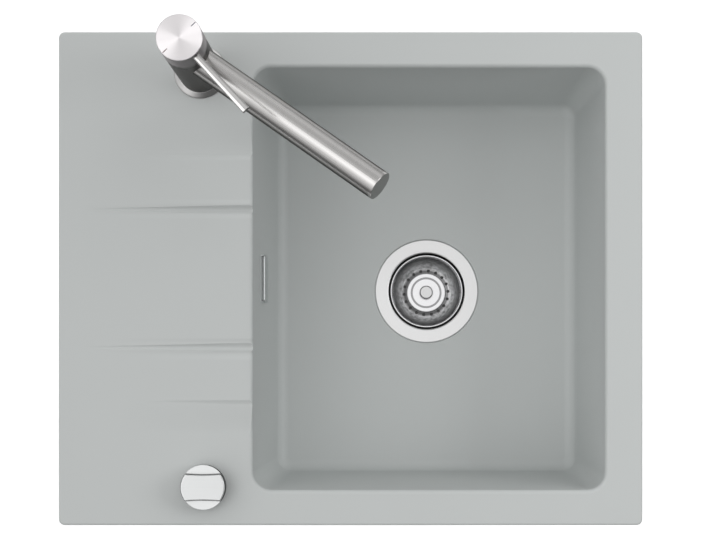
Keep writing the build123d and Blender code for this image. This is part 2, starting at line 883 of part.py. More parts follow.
def housing_cover():
    """Cover under the drum, with a bearing for the spindle's foot."""
    high = housing_top() - housing_height
    low = high - cover_thickness
    cover = disc(housing_diameter / 2, low, high) + disc(spindle_diameter, low - 3, high)
    cover -= disc(spindle_diameter / 2 + running_fit, low, high)
    for place in cover_screw_points():
        cover -= place * disc(cover_screw_diameter / 2 + 0.15, low, high)
    return control_place * cover


def cover_screws():
    """Screws of the housing's cover."""
    high = housing_top() - housing_height
    head = high - cover_thickness
    screw = disc(cover_screw_diameter / 2, head, high + cover_screw_grip)
    screw += turned((0, head - 1.8), (1.6, head - 1.8), (2.6, head - 0.8), (2.6, head), (0, head))
    return Compound(children=[control_place * place * screw for place in cover_screw_points()])


def control_spindle():
    """Spindle from the knob to the drum."""
    low = housing_top() - housing_height - cover_thickness + running_gap
    spindle = disc(spindle_diameter / 2, low, spindle_top())
    return control_place * chamfer(spindle.edges().group_by(Axis.Z)[0], 0.8)


def cable_drum():
    """Grooved drum that winds the pull cable."""
    low = housing_top() - housing_height + running_gap
    outer = drum_diameter / 2
    inner = spindle_diameter / 2
    middle = low + drum_height / 2
    return control_place * turned(
        (inner, low), (outer, low), (outer, middle - 1.6), (outer - 2.5, middle - 0.8),
        (outer - 2.5, middle + 0.8), (outer, middle + 1.6), (outer, low + drum_height),
        (inner, low + drum_height),
    )


def finger_recess(reach):
    """Face beside the knob's grip bar, from the bar's waisted side outwards by reach."""
    radius = knob_diameter / 2
    half = knob_web / 2
    end = half + knob_web_flare
    return make_face([
        ThreePointArc((-radius, end), (0, half), (radius, end)),
        Line((radius, end), (radius, end + reach)),
        ThreePointArc((radius, end + reach), (0, half + reach), (-radius, end + reach)),
        Line((-radius, end + reach), (-radius, end)),
    ])


def control_knob():
    """Round knob with a waisted grip bar between two finger recesses."""
    radius = knob_diameter / 2
    low = knob_bottom()
    high = low + knob_height
    knob = fillet(disc(radius, low, high).edges().group_by(Axis.Z)[-1], 1.5)
    half = knob_web / 2
    scoop = Pos(0, 0, high - knob_recess) * extrude(finger_recess(2 * radius), knob_recess + 1)
    depth = knob_recess + knob_crease_depth
    groove = Pos(0, 0, high - depth) * extrude(finger_recess(knob_crease_width), depth)
    for side in (0, 180):
        knob -= Rot(0, 0, side) * (scoop + groove)
    crease = knob.edges().filter_by(
        lambda edge: edge.length > radius
        and abs(edge.center().Z - high) < 0.01
        and abs(abs(edge.center().Y) - half) < 2
    )
    knob = fillet(crease, 0.8)
    knob -= disc(spindle_diameter / 2, low, spindle_top())
    z = knob_screw_z()
    knob -= rod((0, 0, z), (0, -radius - 1, z), knob_screw_diameter / 2)
    return control_place * knob


def spindle_top():
    """Upper end of the spindle in the knob."""
    return knob_bottom() + knob_height - 5


def knob_screw_z():
    """Height of the knob's grub screw."""
    return knob_bottom() + 4


def knob_screw():
    """Grub screw that locks the knob on its spindle."""
    z = knob_screw_z()
    near = -spindle_diameter / 2 - 0.1
    return control_place * rod((0, near, z), (0, near - 8, z), knob_screw_diameter / 2)


# Tap, built from the deck's top face on the column's axis

def column_radius():
    """Outer radius of the column, sleeve and lever cap."""
    return column_diameter / 2


def bore_radius():
    """Inner radius of the spout's sleeve."""
    return column_radius() - sleeve_wall


def core_radius():
    """Radius of the tap body inside the sleeve."""
    return bore_radius() - 0.4


def spigot_radius():
    """Radius of the tap body inside the base ring."""
    return core_radius() - 2


def neck_radius():
    """Radius of the tap body's neck inside the collar."""
    return core_radius() - 1.2


def ring_top():
    """Height of the base ring's top face."""
    return base_seal_thickness + base_ring_height


def cap_bottom():
    """Height of the lever cap's lower edge at the lever's side."""
    return tap_height - cap_height


def collar_top():
    """Height of the fixed collar's shoulder."""
    return cap_bottom() - cap_gap


def neck_top():
    """Upper end of the tap body's neck, under the collar's shoulder."""
    return collar_top() - 1


def collar_bottom():
    """Height of the fixed collar's lower face."""
    return collar_top() - tap_collar_height


def pivot_z():
    """Height of the lever's tilting axis."""
    return cap_bottom() + pivot_rise


def tap_base_seal():
    """Seal between the base ring and the deck."""
    inner = fixture_hole_diameter / 2 + 0.5
    return tap_place * ring(base_ring_diameter / 2 - 1, inner, 0, base_seal_thickness)


def tap_base_ring():
    """Base ring round the column's foot, with a falling top face."""
    outer = base_ring_diameter / 2
    inner = spigot_radius()
    low = base_seal_thickness
    high = ring_top()
    return tap_place * turned(
        (inner, low), (outer, low), (outer, low + 1.6), (outer - 0.8, low + 2.4),
        (column_radius() + 0.4, high), (inner, high),
    )


def port_heights():
    """Heights of the two O-rings above and below the spout's opening."""
    middle = spout_root_height + column_radius() * math.tan(math.radians(spout_rise))
    reach = spout_diameter / 2 + 5.5
    return (middle - reach, middle + reach - 3)


def seat_z():
    """Height of the cartridge's seat."""
    return spout_root_height + 5


def shoulder_z():
    """Height of the cartridge's shoulder, under its nut."""
    return collar_bottom() - 7


def inlet_points():
    """Places of the two inlet sockets in the tap body's underside."""
    return [Pos(side * inlet_pitch / 2, -4, 0) for side in (1, -1)]


def tap_body():
    """Cast core: inlet sockets, water ways, ring grooves, spout gallery and cartridge seat."""
    core = core_radius()
    foot = -tap_foot_drop
    body = disc(fixture_hole_diameter / 2 - 0.7, foot, base_seal_thickness)
    body += disc(spigot_radius(), base_seal_thickness, ring_top())
    body += disc(core, ring_top(), collar_bottom())
    body += disc(neck_radius(), collar_bottom(), neck_top())
    low, high = port_heights()
    for z in (low, high):
        body -= ring(core + 1, core - ring_section + 0.3, z - 1.4, z + 1.4)
    body -= ring(core + 1, core - 2.5, low + 5, high - 5)
    chamber = cartridge_diameter / 2
    body -= disc(chamber, seat_z(), collar_top()) + disc(chamber + 1.6, shoulder_z(), collar_top())
    for place in inlet_points():
        body -= place * disc(inlet_diameter / 2, foot, foot + inlet_depth)
        body -= place * disc(inlet_diameter / 2 - 2, foot, seat_z())
    body -= Pos(0, stud_offset, 0) * disc(stud_diameter / 2, foot, stud_grip)
    way_y = cartridge_diameter / 2 - 6
    way_z = seat_z() - 8
    body -= Pos(0, way_y, 0) * disc(outlet_way_diameter / 2, way_z, seat_z())
    return tap_place * (body - rod((0, way_y, way_z), (0, core + 1, way_z), outlet_way_diameter / 2))


def tap_stud():
    """Threaded stud that holds the tap down."""
    return tap_place * Pos(0, stud_offset, 0) * disc(stud_diameter / 2, stud_grip - stud_length, stud_grip)


def horseshoe(radius, low, high):
    """Open plate round the hoses, with a hole for the stud."""
    half = inlet_pitch / 2 + 6.5
    plate = disc(radius, low, high) - block(-half, half, -2 * radius, 3.2, low, high)
    return plate - Pos(0, stud_offset, 0) * disc(stud_diameter / 2 + 0.3, low, high)


def tap_washer():
    """Rubber horseshoe under the deck."""
    high = fixture_underside - deck_top
    return tap_place * horseshoe(fixture_boss_diameter / 2 - 3, high - horseshoe_thickness, high)


def tap_backplate():
    """Steel horseshoe under the rubber one."""
    high = fixture_underside - deck_top - horseshoe_thickness
    return tap_place * horseshoe(fixture_boss_diameter / 2 - 4, high - horseshoe_thickness, high)


def tap_nut():
    """Long nut on the stud."""
    high = fixture_underside - deck_top - 2 * horseshoe_thickness
    nut = extrude(RegularPolygon(stud_diameter * 0.81, 6, major_radius=False), stud_nut_length)
    nut -= disc(stud_diameter / 2, 0, stud_nut_length)
    return tap_place * Pos(0, stud_offset, high - stud_nut_length) * nut


def lower_slide_ring():
    """Plastic ring under the sleeve."""
    low = ring_top()
    return tap_place * ring(column_radius(), core_radius() + running_fit, low, low + slide_ring_thickness)


def upper_slide_ring():
    """Plastic ring between the sleeve and the collar."""
    high = collar_bottom()
    return tap_place * ring(column_radius(), core_radius() + running_fit, high - slide_ring_thickness, high)


def sleeve_rings():
    """Two O-rings between the tap body and the sleeve."""
    major = bore_radius() - running_fit - ring_section / 2
    section = Torus(major, ring_section / 2)
    return Compound(children=[tap_place * Pos(0, 0, z) * section for z in port_heights()])


def cartridge():
    """Ceramic cartridge: a body on its seat and a neck for the rotor."""
    neck = cartridge_diameter / 2 - 1.8
    body = disc(cartridge_diameter / 2, seat_z(), shoulder_z()) + disc(neck, shoulder_z(), pivot_z() + 1)
    return tap_place * (body - disc(rotor_bore(), rotor_floor(), pivot_z() + 1))


def rotor_bore():
    """Inner radius of the cartridge's neck, where the rotor turns."""
    return cartridge_diameter / 2 - 4


def rotor_floor():
    """Height of the floor under the rotor."""
    return pivot_z() - 11


def cartridge_nut():
    """Slotted ring nut that holds the cartridge down."""
    low = shoulder_z()
    nut = ring(cartridge_diameter / 2 + 1.6, cartridge_diameter / 2 - 1.75, low, low + 8)
    for arm in arms(4, 45, column_diameter, 3, low + 6, low + 9):
        nut -= arm
    return tap_place * nut


def tap_collar():
    """Fixed collar with a dome that the lever cap swings over."""
    dome = dome_diameter / 2
    body = disc(column_radius(), collar_bottom(), collar_top())
    body += Pos(0, 0, pivot_z()) * Sphere(dome) & disc(dome, collar_top(), pivot_z() + dome / 2)
    body -= Pos(0, 0, pivot_z()) * Sphere(dome - dome_wall) & disc(dome, neck_top(), pivot_z() + dome)
    return tap_place * (body - disc(neck_radius(), collar_bottom(), neck_top()))


# Tap spout, built along +X and turned to its rest direction

def turn_spout(piece):
    """Puts a spout piece in its rest direction on the tap."""
    return tap_place * Rot(0, 0, spout_azimuth) * piece


def along_spout(distance):
    """Point on the spout's axis at a distance from the column's axis."""
    rise = math.radians(spout_rise)
    return (distance * math.cos(rise), 0, spout_root_height + distance * math.sin(rise))


def spout_length():
    """Length of the spout's axis from the column's axis to its end."""
    return spout_reach / math.cos(math.radians(spout_rise))


def spout_bore():
    """Radius of the water way in the spout."""
    return spout_diameter / 2 - spout_wall


def nozzle_mouth():
    """Height of the outlet nozzle's lower edge."""
    axis_z = along_spout(spout_length() - outlet_setback)[2]
    return axis_z - spout_diameter / 2 / math.cos(math.radians(spout_rise)) - nozzle_drop


def nozzle_x():
    """Distance of the outlet from the column's axis."""
    return along_spout(spout_length() - outlet_setback)[0]


def spout_sleeve():
    """Sleeve that turns on the tap body and carries the spout."""
    low = ring_top() + slide_ring_thickness + running_gap
    high = collar_bottom() - slide_ring_thickness - running_gap
    sleeve = ring(column_radius(), bore_radius(), low, high)
    return turn_spout(sleeve - rod(along_spout(0), along_spout(2 * column_diameter), spout_bore()))


def spout_tube():
    """Straight tube coped to the sleeve, with a hole for the outlet."""
    end = spout_length() - 3
    tube = rod(along_spout(0), along_spout(end), spout_diameter / 2)
    tube -= rod(along_spout(0), along_spout(end), spout_bore())
    tube -= disc(column_radius(), 0, tap_height)
    hole = disc(nozzle_diameter / 2, nozzle_mouth(), along_spout(spout_length() - outlet_setback)[2])
    return turn_spout(tube - Pos(nozzle_x(), 0, 0) * hole)


def spout_end():
    """End cap with a spigot in the tube."""
    end = spout_length()
    cap = rod(along_spout(end - 3), along_spout(end), spout_diameter / 2)
    cap = chamfer(cap.edges().group_by(Axis.X)[-1], 0.4)
    return turn_spout(cap + rod(along_spout(end - 8), along_spout(end - 3), spout_bore()))


def outlet_nozzle():
    """Short outlet tube under the spout."""
    high = along_spout(spout_length() - outlet_setback)[2] - 6
    nozzle = ring(nozzle_diameter / 2, nozzle_diameter / 2 - nozzle_wall, nozzle_mouth(), high)
    return turn_spout(Pos(nozzle_x(), 0, 0) * nozzle)


def aerator():
    """Aerator insert in the outlet, with a grid of fine channels."""
    low = nozzle_mouth() + 1
    radius = nozzle_diameter / 2 - nozzle_wall
    body = disc(radius, low, low + 9)
    for count, circle in ((6, radius * 0.36), (12, radius * 0.72)):
        for i in range(count):
            body -= Rot(0, 0, i * 360 / count) * Pos(circle, 0, 0) * disc(1.0, low, low + 9)
    return turn_spout(Pos(nozzle_x(), 0, 0) * body)


# Tap lever, built along +X and turned to its rest direction

def turn_lever(piece):
    """Puts a lever piece in its rest direction on the tap."""
    return tap_place * Rot(0, 0, lever_azimuth) * piece


def blade_solid():
    """Tapering flat bar with rounded edges, let into the cap."""
    z = tap_height - lever_drop

    def section(x, width, height):
        across = Plane(origin=(x, 0, z), x_dir=(0, 1, 0), z_dir=(1, 0, 0))
        return across * RectangleRounded(width, height, height * 0.3)

    root = section(column_radius() - 5, lever_root_width, lever_thickness)
    bar = loft([root, section(lever_reach, lever_tip_width, lever_thickness * 0.85)], ruled=True)
    return fillet(bar.edges().group_by(Axis.X)[-1], 1.0)


def lever_screw_z():
    """Height of the lever's grub screw."""
    return tap_height - 9


def lever_cap():
    """Flat-topped cap over the dome; its lower edge is cut back behind to let it tilt."""
    radius = column_radius()
    low = cap_bottom()
    cap = disc(radius, low, tap_height)
    cap = chamfer(cap.edges().group_by(Axis.Z)[-1], 0.5)
    cap -= Pos(0, 0, pivot_z()) * Sphere(dome_diameter / 2 + 0.6)
    drop = 2 * radius * math.tan(math.radians(lever_tilt + 0.5))
    back = -2 * radius
    wedge = Polyline((0, low), (back, low + drop), (back, low - 1), (0, low - 1), close=True)
    cap -= extrude(Plane.XZ * make_face(wedge), 2 * radius, both=True)
    half = stem_width / 2
    cap -= block(-half, half, -half, half, pivot_z(), stem_top())
    z = lever_screw_z()
    cap -= rod((0, 0, z), (-radius - 1, 0, z), lever_screw_diameter / 2)
    return turn_lever(cap - blade_solid())


def stem_top():
    """Upper end of the stem in the cap."""
    return tap_height - 5


def lever_stem():
    """Square stem of the cartridge, locked in the lever cap."""
    half = stem_width / 2
    stem = block(-half, half, -half, half, pivot_z() - 7, stem_top())
    return turn_lever(stem - pivot_rod(stem_width, stem_pin_diameter / 2 + running_fit))


def pivot_rod(reach, radius):
    """Rod on the lever's tilting axis, reaching both ways from the column's axis."""
    return rod((0, -reach, pivot_z()), (0, reach, pivot_z()), radius)


def stem_pin():
    """Pin through the rotor that the stem tilts on."""
    return turn_lever(pivot_rod(rotor_bore() - 1.5, stem_pin_diameter / 2))


def lever_blade():
    """Blade of the lever."""
    return turn_lever(blade_solid())


def lever_screw():
    """Grub screw behind the cap that locks it on the stem."""
    z = lever_screw_z()
    near = -stem_width / 2
    return turn_lever(rod((near, 0, z), (near - 9, 0, z), lever_screw_diameter / 2))


def cartridge_rotor():
    """Disc in the cartridge's neck that turns with the lever and carries the stem's axis."""
    low = rotor_floor() + running_gap
    rotor = disc(rotor_bore() - running_fit, low, pivot_z() + 3)
    half = stem_width / 2 + 0.1
    rotor -= block(-7.6, 7.6, -half, half, low + 1.5, pivot_z() + 3)
    return turn_lever(rotor - pivot_rod(rotor_bore() - 1.5, stem_pin_diameter / 2))


pieces = {
    "sink_moulding": sink_moulding(),
    "rim_seal": seal_ring(seal_depth),
    "clip_brackets": on_clips(clip_bracket()),
    "clip_jaws": on_clips(clip_jaw()),
    "clip_screws": on_clips(clip_screw()),
    "overflow_cover": overflow_cover(),
    "overflow_seal": overflow_seal(),
    "overflow_housing": overflow_housing(),
    "overflow_screws": overflow_screws(),
    "overflow_pipe": overflow_pipe(),
    "overflow_nuts": overflow_nuts(),
    "waste_cup": waste_cup(),
    "flange_seal": flange_seal(),
    "body_seal": body_seal(),
    "waste_body": waste_body(),
    "waste_outlet": waste_outlet(),
    "clamp_screw": clamp_screw(),
    "lift_pin": lift_pin(),
    "lift_rocker": lift_rocker(),
    "lift_crank": lift_crank(),
    "strainer_basket": strainer_basket(),
    "basket_seal": basket_seal(),
    "basket_button": basket_button(),
    "control_collar_seal": control_collar_seal(),
    "control_collar": control_collar(),
    "control_washer": control_washer(),
    "control_housing": control_housing(),
    "housing_cover": housing_cover(),
    "cover_screws": cover_screws(),
    "control_spindle": control_spindle(),
    "cable_drum": cable_drum(),
    "control_knob": control_knob(),
    "knob_screw": knob_screw(),
    "tap_base_seal": tap_base_seal(),
    "tap_base_ring": tap_base_ring(),
    "tap_body": tap_body(),
    "tap_stud": tap_stud(),
    "tap_washer": tap_washer(),
    "tap_backplate": tap_backplate(),
    "tap_nut": tap_nut(),
    "lower_slide_ring": lower_slide_ring(),
    "upper_slide_ring": upper_slide_ring(),
    "sleeve_rings": sleeve_rings(),
    "cartridge": cartridge(),
    "cartridge_nut": cartridge_nut(),
    "tap_collar": tap_collar(),
    "spout_sleeve": spout_sleeve(),
    "spout_tube": spout_tube(),
    "spout_end": spout_end(),
    "outlet_nozzle": outlet_nozzle(),
    "aerator": aerator(),
    "cartridge_rotor": cartridge_rotor(),
    "stem_pin": stem_pin(),
    "lever_stem": lever_stem(),
    "lever_cap": lever_cap(),
    "lever_blade": lever_blade(),
    "lever_screw": lever_screw(),
}

os.makedirs("parts", exist_ok=True)
for name, piece in pieces.items():
    export_step(piece, f"parts/{name}.step")
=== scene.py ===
"""Looks of an inset kitchen sink with its drainer, single-lever tap, basket waste and rotary control.

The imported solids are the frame. Each sub-assembly is a class that gives its solids their finishes and
adds the fine pieces that they leave out. Lengths are metres, in the frame of the solids.
"""

import logging
import math
from dataclasses import dataclass, field
from enum import Enum
from functools import cache
from typing import Mapping, Protocol, Sequence, Union

import bmesh
import bpy
from mathutils import Matrix, Vector


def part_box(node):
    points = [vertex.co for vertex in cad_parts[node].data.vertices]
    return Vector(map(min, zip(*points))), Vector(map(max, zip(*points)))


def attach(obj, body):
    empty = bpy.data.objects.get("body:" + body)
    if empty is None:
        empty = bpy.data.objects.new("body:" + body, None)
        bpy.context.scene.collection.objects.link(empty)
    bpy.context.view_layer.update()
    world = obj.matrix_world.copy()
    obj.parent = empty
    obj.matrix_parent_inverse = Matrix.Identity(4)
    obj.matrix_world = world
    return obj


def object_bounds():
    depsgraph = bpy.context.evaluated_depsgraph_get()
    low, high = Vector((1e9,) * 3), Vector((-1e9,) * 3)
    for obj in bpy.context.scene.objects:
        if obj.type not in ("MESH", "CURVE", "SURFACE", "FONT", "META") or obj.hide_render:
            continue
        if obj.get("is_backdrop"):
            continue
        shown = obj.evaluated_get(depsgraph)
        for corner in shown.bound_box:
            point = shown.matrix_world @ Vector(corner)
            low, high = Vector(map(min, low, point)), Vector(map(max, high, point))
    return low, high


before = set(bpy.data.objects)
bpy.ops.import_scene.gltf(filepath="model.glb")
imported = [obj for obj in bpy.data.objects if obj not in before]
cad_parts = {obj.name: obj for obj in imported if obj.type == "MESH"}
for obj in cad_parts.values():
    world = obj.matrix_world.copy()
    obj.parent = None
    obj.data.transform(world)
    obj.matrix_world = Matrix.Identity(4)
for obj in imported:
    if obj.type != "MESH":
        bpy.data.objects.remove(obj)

Colour = tuple[float, float, float]
Point = tuple[float, float, float]
Pair = tuple[float, float]
Number = Union[float, "Field"]
Tint = Union[Colour, bpy.types.NodeSocket]
SocketValue = Union[float, Sequence[float], "Field", bpy.types.NodeSocket]
Sockets = Mapping[Union[str, int], SocketValue]
Row = list[bmesh.types.BMVert]

LOG = logging.getLogger("sink")
MM = 0.001
OPAQUE = 1.0
WHITE = (1.0, 1.0, 1.0, OPAQUE)

# Numbers of a Mix node's colour sockets.
MIX_SHARE = 0
MIX_LOW = 6
MIX_HIGH = 7
MIX_RESULT = 2

# Fine scratches of daily use on bright metal.
SCRATCH_WIDTH = 0.25 * MM
SCRATCH_STRETCH = 30.0
SCRATCH_WAY: Point = (0.6, 0.8, 0.0)
SCRATCH_DEPTH = 0.002 * MM
SCRATCH_RELIEF = 0.6
SCRATCH_GLOSS = 0.05


class Field:
    """A number that changes over a surface: the output of a shader node, ready for arithmetic."""

    def __init__(self, tree: "NodeTree", socket: bpy.types.NodeSocket) -> None:
        """Keeps the tree that new nodes go to, and the socket that holds the number."""
        self.tree = tree
        self.socket = socket

    def math(self, operation: str, left: Number, right: Number) -> "Field":
        """Adds one Math node.

        Args:
            operation: Blender's name of the sum.
            left: first number.
            right: second number.

        Returns:
            The node's result.
        """
        node = self.tree.node("ShaderNodeMath", {"operation": operation}, {0: left, 1: right})
        return Field(self.tree, node.outputs[0])

    def __add__(self, other: Number) -> "Field":
        """Sum of this number and another."""
        return self.math("ADD", self, other)

    def __radd__(self, other: Number) -> "Field":
        """Sum of another number and this one."""
        return self.math("ADD", other, self)

    def __sub__(self, other: Number) -> "Field":
        """This number less another."""
        return self.math("SUBTRACT", self, other)

    def __rsub__(self, other: Number) -> "Field":
        """Another number less this one."""
        return self.math("SUBTRACT", other, self)

    def __mul__(self, other: Number) -> "Field":
        """Product of this number and another."""
        return self.math("MULTIPLY", self, other)

    def __rmul__(self, other: Number) -> "Field":
        """Product of another number and this one."""
        return self.math("MULTIPLY", other, self)

    def __pow__(self, other: Number) -> "Field":
        """This number to a power."""
        return self.math("POWER", self, other)

    def __gt__(self, other: Number) -> "Field":
        """1 where this number is the larger, otherwise 0."""
        return self.math("GREATER_THAN", self, other)

    def at_least(self, other: Number) -> "Field":
        """The larger of this number and another."""
        return self.math("MAXIMUM", self, other)

    def at_most(self, other: Number) -> "Field":
        """The smaller of this number and another."""
        return self.math("MINIMUM", self, other)

    def clamped(self) -> "Field":
        """This number, kept between 0 and 1."""
        return self.at_least(0.0).at_most(1.0)


class NodeTree:
    """Shader nodes of a material or of the room's light."""

    def __init__(self, tree: bpy.types.NodeTree) -> None:
        """Keeps the tree that new nodes go to."""
        self.nodes = tree.nodes
        self.links = tree.links

    def fill(self, node: bpy.types.Node, sockets: Sockets) -> None:
        """Sets or links sockets of a node.

        Args:
            node: the node.
            sockets: each socket's name or number, and its value or the output that feeds it.
        """
        for name, value in sockets.items():
            if isinstance(value, Field):
                value = value.socket
            if isinstance(value, bpy.types.NodeSocket):
                self.links.new(value, node.inputs[name])
            else:
                node.inputs[name].default_value = value

    def node(
        self,
        kind: str,
        settings: Mapping[str, object] | None = None,
        sockets: Sockets | None = None,
    ) -> bpy.types.Node:
        """Adds a node.

        Args:
            kind: Blender's name of the node's type.
            settings: the node's own properties, which are set first.
            sockets: values and links of its inputs.

        Returns:
            The new node.
        """
        made = self.nodes.new(kind)
        for name, value in (settings or {}).items():
            setattr(made, name, value)
        self.fill(made, sockets or {})
        return made


class ShaderTree(NodeTree):
    """Node tree of one material, which ends in a Principled shader."""

    def __init__(self, name: str) -> None:
        """Starts an empty material.

        Args:
            name: the material's name.
        """
        self.material = bpy.data.materials.new(name)
        self.material.use_nodes = True
        super().__init__(self.material.node_tree)
        self.shader = self.nodes["Principled BSDF"]
        self.place = self.node("ShaderNodeTexCoord").outputs["Object"]

    def axes(self) -> tuple["Field", "Field", "Field"]:
        """The place on the piece as three numbers."""
        parts = self.node("ShaderNodeSeparateXYZ", sockets={0: self.place}).outputs
        return Field(self, parts[0]), Field(self, parts[1]), Field(self, parts[2])

    def along(self, direction: Point) -> Field:
        """How far the place on the piece lies along a direction.

        Args:
            direction: unit vector.

        Returns:
            The distance, in metres.
        """
        sockets = {0: self.place, 1: direction}
        dot = self.node("ShaderNodeVectorMath", {"operation": "DOT_PRODUCT"}, sockets)
        return Field(self, dot.outputs["Value"])

    def upward(self) -> Field:
        """How much the surface faces up, from -1 to 1."""
        normal = self.node("ShaderNodeNewGeometry").outputs["Normal"]
        return Field(self, self.node("ShaderNodeSeparateXYZ", sockets={0: normal}).outputs[2])

    def radius(self, centre: Pair) -> Field:
        """Distance from an upright axis.

        Args:
            centre: where the axis stands.

        Returns:
            The distance, in metres.
        """
        x, y, _ = self.axes()
        return ((x - centre[0]) ** 2.0 + (y - centre[1]) ** 2.0) ** 0.5

    def noise(
        self,
        size: float,
        detail: float = 2.0,
        place: bpy.types.NodeSocket | None = None,
    ) -> Field:
        """Soft cloudy pattern between 0 and 1.

        Args:
            size: size of one cloud, in metres.
            detail: how many finer layers it has.
            place: where it is read, the piece's own place if left out.

        Returns:
            The pattern.
        """
        sockets = {"Vector": place or self.place, "Scale": 1 / size, "Detail": detail}
        return Field(self, self.node("ShaderNodeTexNoise", sockets=sockets).outputs[0])

    def streaks(self, across: Field, pitch: float, detail: float = 3.0) -> Field:
        """Uneven lines, all at one level of a number.

        Args:
            across: number that grows across the lines.
            pitch: mean distance between lines, in metres.
            detail: how many finer layers they have.

        Returns:
            The pattern, between 0 and 1.
        """
        settings = {"noise_dimensions": "1D"}
        sockets = {"W": across, "Scale": 1 / pitch, "Detail": detail}
        return Field(self, self.node("ShaderNodeTexNoise", settings, sockets).outputs[0])

    def drawn_out(self, direction: Point, stretch: float) -> bpy.types.NodeSocket:
        """Place on the piece, shortened along a direction so that patterns are drawn out along it.

        Args:
            direction: unit vector of the lines.
            stretch: how many times longer than wide a pattern gets.

        Returns:
            The output that holds the place.
        """
        share = self.along(direction) * (1 - 1 / stretch)
        part = self.node("ShaderNodeVectorMath", {"operation": "SCALE"}, {0: direction, "Scale": share})
        sockets = {0: self.place, 1: part.outputs[0]}
        return self.node("ShaderNodeVectorMath", {"operation": "SUBTRACT"}, sockets).outputs[0]

    def scratches(self) -> Field:
        """Fine scratches, all about one way, as a pattern between 0 and 1."""
        return self.noise(SCRATCH_WIDTH, place=self.drawn_out(SCRATCH_WAY, SCRATCH_STRETCH))

    def between(self, share: Number, low: Tint, high: Tint) -> bpy.types.NodeSocket:
        """Colour between two others.

        Args:
            share: 0 for the first, 1 for the second.
            low: first colour.
            high: second colour.

        Returns:
            The output that holds the colour.
        """
        sockets: dict[int, SocketValue] = {MIX_SHARE: share}
        for number, tint in ((MIX_LOW, low), (MIX_HIGH, high)):
            sockets[number] = tint if isinstance(tint, bpy.types.NodeSocket) else (*tint, OPAQUE)
        return self.node("ShaderNodeMix", {"data_type": "RGBA"}, sockets).outputs[MIX_RESULT]

    def band(self, level: Field, middle: float, half: float) -> Field:
        """1 at one level of a number, falling off to 0 on both sides.

        Args:
            level: the number.
            middle: the level.
            half: how far off it falls to 0.

        Returns:
            The band.
        """
        return (1 - ((level - middle) * (1 / half)) ** 2.0).at_least(0.0)

    def bump(self, height: Field, depth: float, strength: float = 1.0) -> bpy.types.NodeSocket:
        """Relief from a number between 0 and 1.

        Args:
            height: the relief.
            depth: its depth, in metres.
            strength: share of it that shows.

        Returns:
            The output that holds the normal.
        """
        sockets = {"Height": height, "Distance": depth, "Strength": strength}
        return self.node("ShaderNodeBump", sockets=sockets).outputs[0]

    def close(self, sockets: Sockets) -> bpy.types.Material:
        """Sets the shader's sockets and gives the finished material."""
        self.fill(self.shader, sockets)
        return self.material


class RoomTree(NodeTree):
    """Node tree of the light that reaches the object from far away."""

    def __init__(self, name: str) -> None:
        """Starts a dark room.

        Args:
            name: the room's name.
        """
        self.world = bpy.data.worlds.new(name)
        self.world.use_nodes = True
        super().__init__(self.world.node_tree)
        place = self.node("ShaderNodeTexCoord").outputs["Generated"]
        self.way = self.node("ShaderNodeVectorMath", {"operation": "NORMALIZE"}, {0: place}).outputs[0]

    def facing(self, direction: Point) -> Field:
        """Cosine of the angle to a direction, and 0 on the far side.

        Args:
            direction: unit vector.

        Returns:
            The cosine.
        """
        sockets = {0: self.way, 1: direction}
        dot = self.node("ShaderNodeVectorMath", {"operation": "DOT_PRODUCT"}, sockets)
        return Field(self, dot.outputs["Value"]).at_least(0.0)

    def close(self, level: Number, wall: Colour) -> bpy.types.World:
        """Lights the room, and shows the camera a plain wall.

        Args:
            level: the light's strength in each direction.
            wall: the wall's colour.

        Returns:
            The finished world.
        """
        light = self.node("ShaderNodeBackground", sockets={"Color": WHITE, "Strength": level})
        plain = self.node("ShaderNodeBackground", sockets={"Color": (*wall, OPAQUE)})
        seen = self.node("ShaderNodeLightPath").outputs["Is Camera Ray"]
        sockets = {0: seen, 1: light.outputs[0], 2: plain.outputs[0]}
        both = self.node("ShaderNodeMixShader", sockets=sockets)
        self.fill(self.nodes["World Output"], {"Surface": both.outputs[0]})
        return self.world


def shade(colour: Colour, share: float) -> Colour:
    """A colour made darker or lighter by a share."""
    return colour[0] * share, colour[1] * share, colour[2] * share


def uneven(level: float, fine: Field, fine_swing: float, broad: Field, broad_swing: float) -> Field:
    """Roughness that a fine and a broad pattern move up and down.

    Args:
        level: its mean.
        fine: fine pattern, between 0 and 1.
        fine_swing: how far the fine pattern moves it.
        broad: broad pattern, between 0 and 1.
        broad_swing: how far the broad pattern moves it.

    Returns:
        The roughness.
    """
    return fine_swing * (fine - 0.5) + (broad_swing * broad + (level - broad_swing / 2))


class Finish(Protocol):
    """What a surface is made of."""

    name: str

    def material(self) -> bpy.types.Material:
        """Builds the finish's material."""


@dataclass(frozen=True)
class PaintedDrainerShading:
    """Band of painted shade along a groove or valley of the drainer, or of painted highlight where
    darkness is below 0, strongest at the bowl's lip.

    Attributes:
        y: where its middle lies.
        half: half its width.
        darkness: how much tone the painted shade takes away at the lip, below 0 for a painted highlight.
        start: where it begins on the drainer.
    """

    y: float
    half: float
    darkness: float
    start: float

    def strength(self, tree: ShaderTree, lip: float) -> Field:
        """How much darker the painted shade makes the surface.

        Args:
            tree: the material's nodes.
            lip: where the drainer meets the bowl.

        Returns:
            A share, which is 0 off the band.
        """
        x, y, _ = tree.axes()
        ramp = ((x - self.start) * (1 / (lip - self.start))).at_least(0.0)
        return self.darkness * tree.band(y, self.y, self.half) * ramp * (1 - (x > lip))


